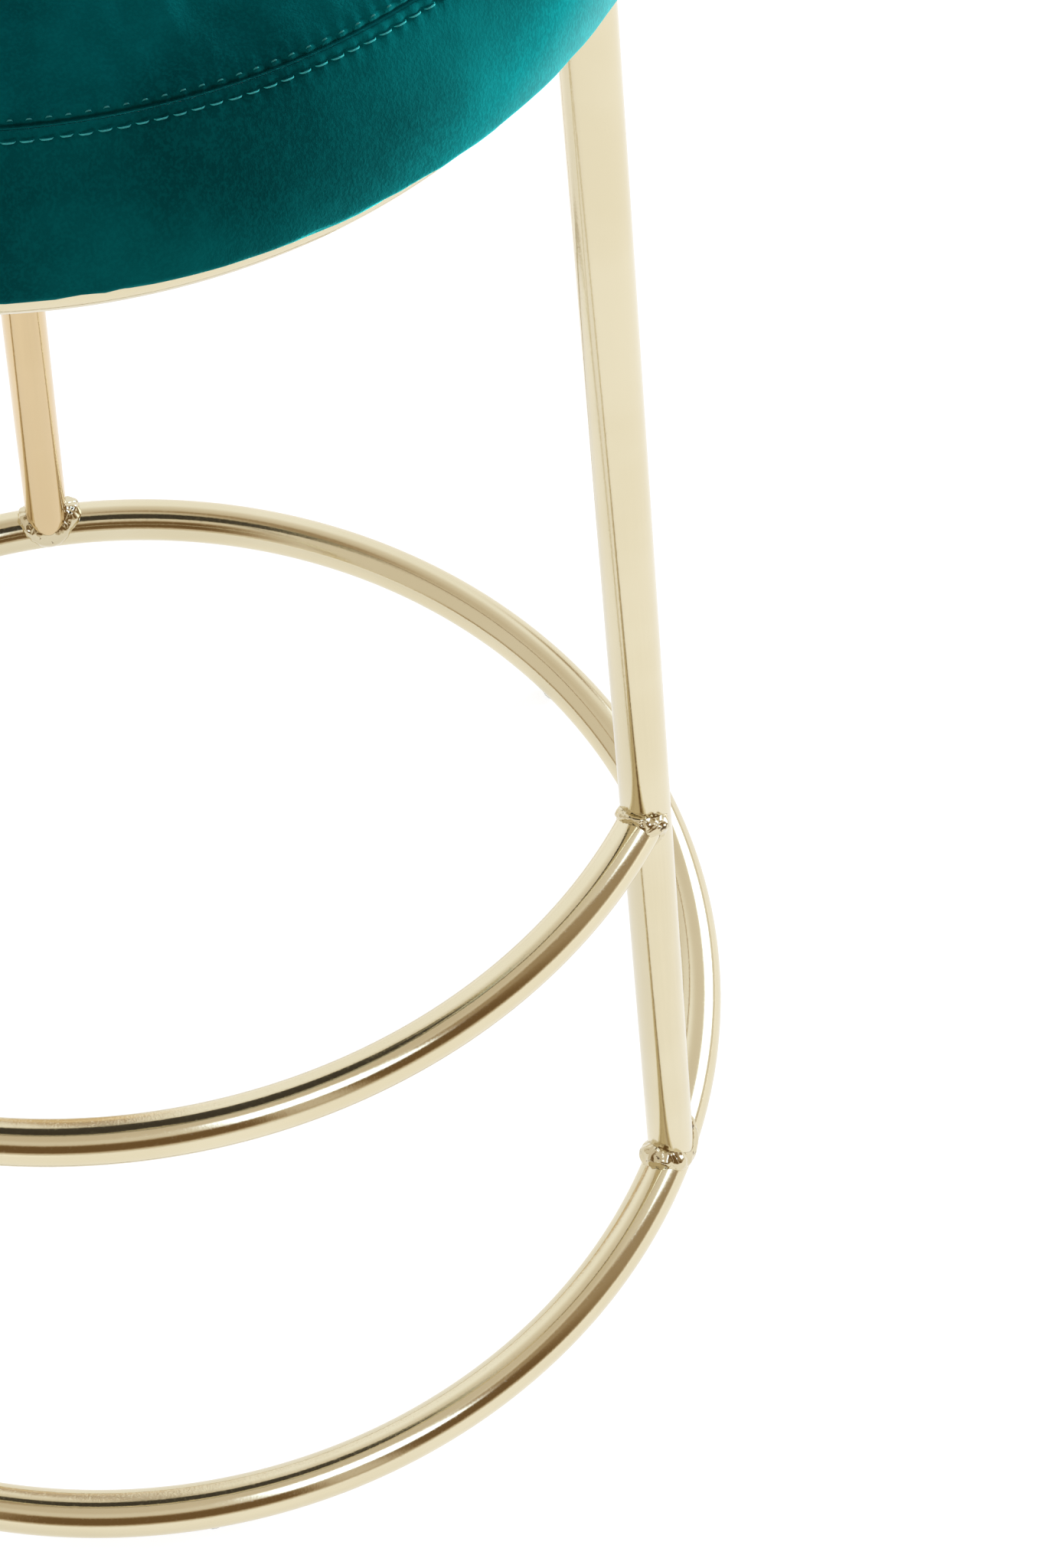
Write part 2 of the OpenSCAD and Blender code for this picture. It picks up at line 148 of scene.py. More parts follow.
@dataclass
class Tree:
    """A node tree with short calls for its nodes and links."""

    tree: NodeTree

    def feed(self, socket: Socket, value: Any) -> None:
        """Sets a socket to a value, or links it to the socket that feeds it.

        Args:
            socket: The socket to feed.
            value: The value or the feeding socket.
        """
        if isinstance(value, Socket):
            self.tree.links.new(value, socket)
        else:
            socket.default_value = value

    def add(self, kind: str, inputs: dict[Any, Any] | None = None, **own: Any) -> bpy.types.Node:
        """Adds a node.

        Args:
            kind: The node's type name.
            inputs: Socket name or number to a value, or to the socket that feeds it.
            own: The node's own settings.

        Returns:
            The new node.
        """
        node = self.tree.nodes.new(kind)
        for name, value in own.items():
            setattr(node, name, value)
        for key, value in (inputs or {}).items():
            self.feed(node.inputs[key], value)
        return node

    def first(self, kind: str, inputs: dict[Any, Any] | None = None, **own: Any) -> Socket:
        """The first output of a new node."""
        return self.add(kind, inputs, **own).outputs[0]

    def use(self, group: NodeTree, **values: Any) -> bpy.types.Node:
        """Places a shared group with its own values."""
        return self.add("ShaderNodeGroup", values, node_tree=group)

    def math(self, operation: str, *values: Any) -> Socket:
        """A Math node's result."""
        return self.first("ShaderNodeMath", dict(enumerate(values)), operation=operation)

    def mix(self, share: Any, a: Any, b: Any, blend: str = "MIX") -> Socket:
        """A colour mix's result."""
        inputs = {0: share, 6: a, 7: b}
        return self.add("ShaderNodeMix", inputs, data_type="RGBA", blend_type=blend).outputs[2]

    def span(self, value: Any, low: Any, high: Any, to: Span = (0, 1)) -> Socket:
        """A value mapped smoothly from low and high to a new span."""
        inputs = {0: value, 1: low, 2: high, 3: to[0], 4: to[1]}
        return self.first("ShaderNodeMapRange", inputs, interpolation_type="SMOOTHSTEP")

    def place(self) -> Socket:
        """The point on the object, in metres."""
        return self.add("ShaderNodeTexCoord").outputs["Object"]

    def scaled(self, point: Any, scale: Any) -> Socket:
        """A point times a scale along each axis."""
        return self.first("ShaderNodeVectorMath", {0: point, 1: scale}, operation="MULTIPLY")

    def noise(self, point: Any, scale: Any, detail: float = 2.0, rough: float = 0.5) -> Socket:
        """Noise at a point, about 0 to 1."""
        inputs = {"Vector": point, "Scale": scale, "Detail": detail, "Roughness": rough}
        return self.first("ShaderNodeTexNoise", inputs)

    def bump(self, height: Any, strength: float, distance: float, normal: Any = None) -> Socket:
        """A normal bent by a height.

        Args:
            height: What feeds the height.
            strength: Share of the bend that is kept.
            distance: How high a height of one is.
            normal: The normal that is bent, or none for the surface's own.

        Returns:
            The bent normal.
        """
        inputs = {"Height": height, "Strength": strength, "Distance": distance}
        if normal is not None:
            inputs["Normal"] = normal
        return self.first("ShaderNodeBump", inputs)

    def seen(self) -> Socket:
        """One for rays from the camera and through clear plastic."""
        path = self.add("ShaderNodeLightPath").outputs
        return self.math("MAXIMUM", path["Is Camera Ray"], path["Is Transmission Ray"])


def rgba(colour: Colour) -> tuple[float, float, float, float]:
    """A colour with full alpha."""
    return (*colour, 1.0)


def new_group(
    name: str, inputs: dict[str, tuple[str, Any]], outputs: dict[str, str]
) -> tuple[Tree, Any, Any]:
    """Makes an empty shader node group.

    Args:
        name: The group's name.
        inputs: Socket type and default of each named input.
        outputs: Socket type of each named output.

    Returns:
        The group's tree, its inputs as sockets to read and its outputs as sockets to feed.
    """
    tree = bpy.data.node_groups.new(name, "ShaderNodeTree")
    for label, (kind, value) in inputs.items():
        socket = tree.interface.new_socket(name=label, in_out="INPUT", socket_type=kind)
        socket.default_value = value
    for label, kind in outputs.items():
        tree.interface.new_socket(name=label, in_out="OUTPUT", socket_type=kind)
    t = Tree(tree)
    return t, t.add("NodeGroupInput").outputs, t.add("NodeGroupOutput").inputs


class Effects:
    """Shader node groups that several finishes share."""

    def __init__(self) -> None:
        """Builds the groups once."""
        self.mottle = self._mottle()
        self.grain = self._grain()
        self.fibre = self._fibre()

    def patches(self, t: Tree, ground: Colour, patch: Colour, scale: float, **more: float) -> Any:
        """Places the mottle with two colours in a tree, as its outputs."""
        colours = {"Ground": rgba(ground), "Patch": rgba(patch)}
        return t.use(self.mottle, **colours, Scale=scale, **more).outputs

    def marks(self, t: Tree, fine: float, broad: float, share: float) -> Any:
        """Places the grain in a tree, as its outputs."""
        return t.use(self.grain, Fine=fine, Broad=broad, Share=share).outputs

    def pile(self, t: Tree, scale: float, lay: float) -> Any:
        """Places the fibres in a tree, as its outputs."""
        return t.use(self.fibre, Scale=scale, Lay=lay).outputs

    def _mottle(self) -> NodeTree:
        """Two colours mixed in soft patches.

        Returns:
            The group.
        """
        inputs = {
            "Ground": (COLOUR, (0.5, 0.5, 0.5, 1)),
            "Patch": (COLOUR, (0.6, 0.6, 0.6, 1)),
            "Scale": (FLOAT, 20.0),
            "Low": (FLOAT, 0.4),
            "High": (FLOAT, 0.65),
            "Upright": (FLOAT, 1.0),
        }
        t, given, put = new_group("soft_mottle", inputs, {"Colour": COLOUR, "Mask": FLOAT})
        stretch = t.first("ShaderNodeCombineXYZ", {0: 1.0, 1: 1.0, 2: given["Upright"]})
        cloud = t.noise(t.scaled(t.place(), stretch), given["Scale"], detail=3.0, rough=0.55)
        mask = t.span(cloud, given["Low"], given["High"])
        t.feed(put["Colour"], t.mix(mask, given["Ground"], given["Patch"]))
        t.feed(put["Mask"], mask)
        return t.tree

    def _grain(self) -> NodeTree:
        """Fine and broad unevenness of a hard surface, as a height, and a mask of its marks.

        Returns:
            The group.
        """
        inputs = {"Fine": (FLOAT, 900.0), "Broad": (FLOAT, 60.0), "Share": (FLOAT, 0.5)}
        t, given, put = new_group("surface_grain", inputs, {"Height": FLOAT, "Mask": FLOAT})
        fine = t.noise(t.place(), given["Fine"])
        broad = t.noise(t.place(), given["Broad"])
        t.feed(put["Height"], t.math("ADD", t.math("MULTIPLY", fine, given["Share"]), broad))
        t.feed(put["Mask"], t.span(fine, 0.55, 0.72))
        return t.tree

    def _fibre(self) -> NodeTree:
        """Short fibres in tufts with one lay, as a height, and a mask of lit tips.

        Returns:
            The group.
        """
        tuft_scale, fine_share, tuft_share = 0.3, 0.7, 0.3
        inputs = {"Scale": (FLOAT, 700.0), "Lay": (FLOAT, 0.25)}
        t, given, put = new_group("fibre_pile", inputs, {"Height": FLOAT, "Tips": FLOAT})
        lay = t.first("ShaderNodeCombineXYZ", {0: 1.0, 1: 1.0, 2: given["Lay"]})
        point = t.scaled(t.place(), lay)
        fine = t.noise(point, given["Scale"], rough=0.6)
        tufts = t.noise(point, t.math("MULTIPLY", given["Scale"], tuft_scale))
        fine, tufts = t.math("MULTIPLY", fine, fine_share), t.math("MULTIPLY", tufts, tuft_share)
        both = t.math("ADD", fine, tufts)
        t.feed(put["Height"], both)
        t.feed(put["Tips"], t.span(both, 0.42, 0.62))
        return t.tree


# Finishes


@dataclass(frozen=True)
class Finish:
    """A named surface finish: what every finish shares."""

    name: str

    def build(self, effects: Effects) -> Material:
        """Makes the material.

        Args:
            effects: The shared shader node groups.

        Returns:
            The material.
        """
        material = bpy.data.materials.new(self.name)
        material.use_nodes = True
        tree = Tree(material.node_tree)
        shader = material.node_tree.nodes["Principled BSDF"]
        for name, value in self.dress(tree, effects).items():
            tree.feed(shader.inputs[name], value)
        return material

    def dress(self, t: Tree, effects: Effects) -> dict[str, Any]:
        """Builds the nodes.

        Args:
            t: The material's tree.
            effects: The shared shader node groups.

        Returns:
            The shader's socket names, each with its value or what feeds it.
        """
        raise NotImplementedError


@dataclass(frozen=True)
class Plating(Finish):
    """Gold plating over polished tube: two close tones under polish marks and orange peel."""

    ground: Colour = (0.735, 0.655, 0.455)
    patch: Colour = (0.760, 0.685, 0.490)
    tint_scale: float = 14.0
    tint_high: float = 0.65
    grain: Triple = (1400.0, 180.0, 0.35)
    rough: Span = (0.11, 0.19)
    relief: Span = (0.05, 0.0004)
    metallic: float = 1.0

    def dress(self, t: Tree, effects: Effects) -> dict[str, Any]:
        """A tint that changes a little, and marks that are rougher and raised. See Finish."""
        tint = effects.patches(t, self.ground, self.patch, self.tint_scale, High=self.tint_high)
        marks = effects.marks(t, *self.grain)
        return {
            "Metallic": self.metallic,
            "Base Color": tint["Colour"],
            "Roughness": t.span(marks["Mask"], 0, 1, self.rough),
            "Normal": t.bump(marks["Height"], *self.relief),
        }


@dataclass(frozen=True)
class SmallMetal(Plating):
    """Zinc, wire or blackened steel of small parts, blotchy with a fine grain."""

    ground: Colour = (0.50, 0.51, 0.53)
    patch: Colour = (0.64, 0.65, 0.66)
    tint_scale: float = 260.0
    tint_high: float = 0.60
    grain: Triple = (2400.0, 500.0, 0.5)
    rough: Span = (0.28, 0.42)
    relief: Span = (0.15, 0.0003)


@dataclass(frozen=True)
class WeldBead(Finish):
    """Plated weld metal: lumps with pits, painted dark as shade in the hollows."""

    metal: Colour = (0.70, 0.62, 0.43)
    # The pits' dark colour is painted shade for the hollows.
    pit: Colour = (0.16, 0.11, 0.06)
    pit_depth: float = 0.5

    def dress(self, t: Tree, effects: Effects) -> dict[str, Any]:
        """Dull pits on shining lumps, painted dark as shade. See Finish."""
        pits = effects.patches(t, self.metal, self.pit, 300.0, Low=0.65, High=0.71)
        sunk = t.math("MULTIPLY", pits["Mask"], self.pit_depth)
        height = t.math("SUBTRACT", effects.marks(t, 1300.0, 360.0, 0.2)["Height"], sunk)
        return {
            "Metallic": 1.0,
            "Base Color": pits["Colour"],
            "Roughness": t.span(pits["Mask"], 0, 1, (0.10, 0.38)),
            "Normal": t.bump(height, strength=0.18, distance=0.0006),
        }


@dataclass(frozen=True)
class Velvet(Finish):
    """Short teal pile, brushed in patches, pale where it is seen along its surface.

    Painted light makes it paler on a slant towards +X, where the lamp shines, and a painted
    sheen makes it palest at the rim, by the distance across less the slant's share of the height.
    """

    deep: Colour = (0.0004, 0.032, 0.034)
    brushed: Colour = (0.0006, 0.060, 0.062)
    tips: Colour = (0.0012, 0.092, 0.092)
    sheen: Colour = (0.06, 0.87, 0.86)
    # A painted sheen: a reddish pale added to the colour at the rim.
    rim: Colour = (0.045, 0.0, 0.0)
    dim: Colour = (0.90, 0.90, 0.90)
    clear: Colour = (1.10, 1.10, 1.10)
    tip_share: float = 0.22
    # How much paler painted light makes the colour towards +X; nought for none.
    painted_light: float = 0.0
    painted_light_span: Span = (0.036, 0.122)
    # The span over which the painted sheen grows towards the rim.
    painted_sheen_span: Span = (0.085, 0.150)
    slant: float = 1.8
    slant_z: float = 0.600
    edge_span: Span = (0.5942, 0.6005)
    edge_share: float = 0.25

    def dress(self, t: Tree, effects: Effects) -> dict[str, Any]:
        """Brushed patches, lit tips, a rough sheen and painted side light. See Finish."""
        broad = effects.patches(t, self.deep, self.brushed, 17.0, Low=0.36, High=0.70)
        small = effects.patches(t, self.dim, self.clear, 80.0, Low=0.30, High=0.74, Upright=0.5)
        pile = effects.pile(t, 1250.0, 0.65)
        ground = t.mix(1.0, broad["Colour"], small["Colour"], "MULTIPLY")
        lit = t.mix(t.math("MULTIPLY", pile["Tips"], self.tip_share), ground, rgba(self.tips))
        lean = t.bump(broad["Mask"], strength=0.10, distance=0.004)
        return {
            # The band's base colour takes painted light on its +X side and a painted sheen at its
            # rim.
            "Base Color": self.paint_side_light(t, lit) if self.painted_light else lit,
            "Roughness": 1.0,
            "Normal": t.bump(pile["Height"], strength=0.24, distance=0.0007, normal=lean),
            "Sheen Weight": 0.38,
            "Sheen Roughness": 0.38,
            "Sheen Tint": rgba(self.sheen),
            "Specular IOR Level": 0.0,
        }

    def paint_side_light(self, t: Tree, lit: Socket) -> Socket:
        """Paints light onto a colour, paler towards +X, with a painted sheen at the rim.

        Args:
            t: The material's tree.
            lit: The colour.

        Returns:
            The colour with painted light and sheen.
        """
        across, _, height = t.add("ShaderNodeSeparateXYZ", {0: t.place()}).outputs
        slant = t.math("MULTIPLY", t.math("SUBTRACT", height, self.slant_z), self.slant)
        far = t.math("SUBTRACT", across, slant)
        above_edge = t.span(height, *self.edge_span, (self.edge_share, 1.0))
        # This share is painted light on the +X side, not a brushed nap.
        brushed = t.span(far, *self.painted_light_span, (0.0, self.painted_light))
        paler = t.math("ADD", t.math("MULTIPLY", brushed, above_edge), 1.0)
        lit = t.first("ShaderNodeVectorMath", {0: lit, "Scale": paler}, operation="SCALE")
        # Where the painted sheen is added, less of it below the low edge.
        rim = t.math("MULTIPLY", t.span(far, *self.painted_sheen_span), above_edge)
        return t.mix(rim, lit, rgba(self.rim), "ADD")


@dataclass(frozen=True)
class Thread(Finish):
    """Twisted polyester thread."""

    light: Colour = (0.010, 0.23, 0.225)
    shade: Colour = (0.004, 0.12, 0.118)

    def dress(self, t: Tree, effects: Effects) -> dict[str, Any]:
        """Strands that catch the light. See Finish."""
        twist = effects.patches(t, self.shade, self.light, 1900.0, Low=0.25, High=0.55)
        return {
            "Base Color": twist["Colour"],
            "Roughness": 0.5,
            "Normal": t.bump(twist["Mask"], strength=0.4, distance=0.0001),
            "Sheen Weight": 0.08,
            "Sheen Tint": (0.2, 0.9, 0.88, 1.0),
        }


@dataclass(frozen=True)
class FrostedPlastic(Finish):
    """Clear plastic with a frosted skin."""

    body: Colour = (0.86, 0.87, 0.85)

    def dress(self, t: Tree, effects: Effects) -> dict[str, Any]:
        """Half clear, softly scratched. See Finish."""
        marks = effects.marks(t, 2200.0, 300.0, 0.5)
        return {
            "Base Color": rgba(self.body),
            "Roughness": t.span(marks["Mask"], 0, 1, (0.22, 0.45)),
            "Normal": t.bump(marks["Height"], strength=0.12, distance=0.0003),
            "IOR": 1.49,
            "Transmission Weight": 0.55,
        }


@dataclass(frozen=True)
class Plywood(Finish):
    """Raw plywood: face grain and the layers at its edge."""

    early: Colour = (0.60, 0.44, 0.27)
    late: Colour = (0.42, 0.28, 0.15)
    stretch: Triple = (6.0, 90.0, 900.0)

    def dress(self, t: Tree, effects: Effects) -> dict[str, Any]:
        """Long grain on the faces, thin layers up the edge. See Finish."""
        rings = t.noise(t.scaled(t.place(), self.stretch), 1.0, detail=5.0, rough=0.62)
        height = t.math("ADD", rings, effects.marks(t, 1600.0, 240.0, 0.6)["Height"])
        return {
            "Base Color": t.mix(t.span(rings, 0.36, 0.66), rgba(self.early), rgba(self.late)),
            "Roughness": 0.72,
            "Normal": t.bump(height, strength=0.25, distance=0.0006),
        }


@dataclass(frozen=True)
class LooseFibre(Finish):
    """Matt fibre or foam: wadding, foam and dust cloth."""

    ground: Colour = (0.8, 0.8, 0.78)
    patch: Colour = (0.9, 0.9, 0.88)
    scale: float = 300.0
    depth: float = 0.0008

    def dress(self, t: Tree, effects: Effects) -> dict[str, Any]:
        """Cells or crossed fibres without shine. See Finish."""
        tint = effects.patches(t, self.ground, self.patch, self.scale, Low=0.35)
        height = effects.pile(t, self.scale * 3, 1.0)["Height"]
        return {
            "Base Color": tint["Colour"],
            "Roughness": 0.92,
            "Normal": t.bump(height, strength=0.6, distance=self.depth),
            "Specular IOR Level": 0.2,
        }


@dataclass(frozen=True)
class PaleFloor(Finish):
    """Pale floor that glows by how it is seen, and still keeps a soft shadow."""

    seen_glow: float = 0.86
    mirrored_glow: float = 0.78
    bounced_glow: float = 0.50

    def dress(self, t: Tree, effects: Effects) -> dict[str, Any]:
        """A faint speckle, and the glow. See Finish."""
        path = t.add("ShaderNodeLightPath").outputs
        seen = t.math("MULTIPLY", t.seen(), self.seen_glow)
        mirrored = t.math("MULTIPLY", path["Is Glossy Ray"], self.mirrored_glow)
        bounced = t.math("MULTIPLY", path["Is Diffuse Ray"], self.bounced_glow)
        speck = t.span(t.noise(t.place(), 30.0), 0.3, 0.7)
        return {
            "Base Color": t.mix(speck, (0.22, 0.22, 0.22, 1), (0.24, 0.24, 0.24, 1)),
            "Roughness": 0.9,
            "Specular IOR Level": 0.0,
            "Emission Color": (1.0, 1.0, 1.0, 1.0),
            "Emission Strength": t.math("MAXIMUM", seen, t.math("MAXIMUM", mirrored, bounced)),
        }


FINISHES = {
    "gold": Plating("pale_gold_plating"),
    # The rear leg's copy of the plating, warmer because a warm reflection is painted into it.
    "gold_painted_warm_reflection": Plating("gold_plating_painted_warm_reflection", (0.735, 0.565, 0.325), (0.760, 0.590, 0.350)),
    "weld": WeldBead("plated_weld_metal"),
    "velvet": Velvet("teal_velvet_pile"),
    # The side band's copy of the velvet, with painted light on its +X side and a painted sheen at
    # its rim.
    "band_velvet_painted_light": Velvet("teal_velvet_band_painted_light", painted_light=1.65),
    "thread": Thread("teal_topstitch_thread"),
    # The upper row's copy of the thread, darker as painted shade in its sunk channel.
    "sunk_thread_painted_shade": Thread("teal_thread_painted_shade", (0.003, 0.12, 0.115), (0.001, 0.06, 0.058)),
    "glide": FrostedPlastic("frosted_clear_plastic"),
    "plywood": Plywood("raw_plywood"),
    "zinc": SmallMetal("zinc_plate"),
    "wire": SmallMetal("galvanised_wire", rough=(0.34, 0.48)),
    "black": SmallMetal(
        "black_oxide", (0.012, 0.012, 0.013), (0.03, 0.03, 0.032), rough=(0.38, 0.52), metallic=0.6
    ),
    "foam": LooseFibre("seat_foam", (0.74, 0.66, 0.36), (0.84, 0.78, 0.50), 500.0),
    "wadding": LooseFibre("fibre_wadding"),
    "dust": LooseFibre(
        "black_dust_cloth", (0.052, 0.044, 0.034), (0.082, 0.070, 0.054), 420.0, depth=0.0004
    ),
    "floor": PaleFloor("pale_floor"),
}


# Meshes


@dataclass
class Mesher:
    """Collects points and faces of one piece."""

    points: list[Any] = field(default_factory=list)
    faces: list[tuple[int, ...]] = field(default_factory=list)

    def grid(self, rows: Array, ring: bool = False, open_row: bool = False) -> Array:
        """Adds a grid of points with its quads.

        Args:
            rows: Points, shaped (u, v, 3). Faces look outwards where v turns left as seen along u.
            ring: Joins the last row to the first.
            open_row: Leaves a row's last point apart from its first.

        Returns:
            The points' numbers, shaped (u, v).
        """
        count_u, count_v = rows.shape[:2]
        numbers = len(self.points) + np.arange(count_u * count_v).reshape(count_u, count_v)
        self.points.extend(rows.reshape(-1, 3).tolist())
        for i in range(count_u if ring else count_u - 1):
            here, ahead = numbers[i].tolist(), numbers[(i + 1) % count_u].tolist()
            for j in range(count_v - 1 if open_row else count_v):
                k = (j + 1) % count_v
                self.faces.append((here[j], here[k], ahead[k], ahead[j]))
        return numbers

    def bridge(self, a: Sequence[int], b: Sequence[int]) -> None:
        """Joins two closed rows of points with quads.

        Args:
            a: The numbers of the first row's points.
            b: The numbers of the second row's points.
        """
        for j in range(len(a)):
            k = (j + 1) % len(a)
            self.faces.append((int(a[j]), int(a[k]), int(b[k]), int(b[j])))

    def cap(self, row: Sequence[int], flip: bool = False) -> None:
        """Closes a row of points with a fan about its middle.

        Args:
            row: The numbers of the row's points.
            flip: Turns the fan over.
        """
        hub = len(self.points)
        self.points.append(np.mean([self.points[n] for n in row], axis=0).tolist())
        for j in range(len(row)):
            a, b = int(row[j]), int(row[(j + 1) % len(row)])
            self.faces.append((hub, b, a) if flip else (hub, a, b))

    def rod(self, rows: Array, flip: bool = False) -> None:
        """Adds closed rows with a cap at each end.

        Args:
            rows: Points, shaped (u, v, 3).
            flip: Turns both caps over.
        """
        numbers = self.grid(rows)
        self.cap(numbers[0], flip)
        self.cap(numbers[-1], not flip)

    def pipe(self, outer: Array, inner: Array) -> None:
        """Adds an open-ended tube with a wall.

        Args:
            outer: The outside's points, shaped (u, v, 3).
            inner: The bore's points, shaped alike.
        """
        skin = self.grid(outer)
        bore = self.grid(inner[:, ::-1])
        self.bridge(skin[0][::-1], bore[0])
        self.bridge(bore[-1], skin[-1][::-1])

    def build(
        self, name: str, material: Material, sharp: float = 40.0, closed: bool = True
    ) -> Piece:
        """Makes the object.

        Args:
            name: The piece's name.
            material: Its finish.
            sharp: Edges that turn by more than this many degrees stay sharp.
            closed: Whether the faces enclose a body, so that they can be turned outwards.

        Returns:
            The object, linked to the scene.
        """
        mesh = bpy.data.meshes.new(name)
        mesh.from_pydata(self.points, [], self.faces)
        mesh.validate()
        if closed:
            shell = bmesh.new()
            shell.from_mesh(mesh)
            bmesh.ops.recalc_face_normals(shell, faces=shell.faces[:])
            shell.to_mesh(mesh)
            shell.free()
        mesh.polygons.foreach_set("use_smooth", [True] * len(mesh.polygons))
        mesh.set_sharp_from_angle(angle=math.radians(sharp))
        mesh.materials.append(material)
        piece = bpy.data.objects.new(name, mesh)
        bpy.context.scene.collection.objects.link(piece)
        return piece


def settle(piece: Piece, slot: Slot, *nodes: str) -> Piece:
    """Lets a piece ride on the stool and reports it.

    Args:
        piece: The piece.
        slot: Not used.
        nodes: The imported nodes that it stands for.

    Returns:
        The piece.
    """
    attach(piece, "root")
    if nodes:
        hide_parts(*nodes)
    faces = len(piece.data.polygons)
    log.info("%s: %d faces, for %s", piece.name, faces, ", ".join(nodes) or "no node")
    return piece


def turned(turn: float) -> Matrix:
    """Rotation about the upright axis by degrees."""
    return Matrix.Rotation(math.radians(turn), 3, "Z")


def moved(points: Array, matrix: Matrix) -> Array:
    """Points, shaped (..., 3), turned by a matrix."""
    return points @ np.array(matrix).T


def circle(steps: int) -> Array:
    """Even turns round a circle, in radians."""
    return np.linspace(0, TAU, steps, endpoint=False)


def revolved(r: Any, z: Any, turn: Array) -> Array:
    """Points at radii and heights, each turned about the upright axis."""
    x = r * np.cos(turn)
    return np.stack([x, r * np.sin(turn), z + 0 * x], axis=-1)


def unit(rows: Array) -> Array:
    """Directions of the vectors in rows."""
    return rows / np.linalg.norm(rows, axis=1)[:, None]


def off_turn(turn: Array, degrees: float) -> Array:
    """How far turns in radians lie from one in degrees, the shorter way round."""
    return (turn - math.radians(degrees) + math.pi) % TAU - math.pi


def bell(distance: Any, width: float) -> Any:
    """A rounded bump of height one."""
    return np.exp(-((distance / width) ** 2))


def facing_out(rows: Array) -> Array:
    """Orders a ring-shaped grid so that its faces look outwards.

    Args:
        rows: Points, shaped (u, v, 3), closed both ways.

    Returns:
        The points, with v turned round where that is needed.
    """
    a, b = rows, np.roll(rows, -1, 1)
    c, d = np.roll(b, -1, 0), np.roll(a, -1, 0)
    volume = np.sum(a * np.cross(b, c)) + np.sum(a * np.cross(c, d))
    return rows if volume > 0 else rows[:, ::-1]


def bisect(
    inside: Callable[[Array], Array], low: Array, high: Array
) -> Array:
    """Where a test turns from true to false, for many lines at once.

    Args:
        inside: The test, at a place along each line.
        low: Places where it is true.
        high: Places where it is false.

    Returns:
        The place between them on each line.
    """
    for _ in range(40):
        mid = (low + high) / 2
        test = inside(mid)
        low, high = np.where(test, mid, low), np.where(test, high, mid)
    return (low + high) / 2


# The welded frame


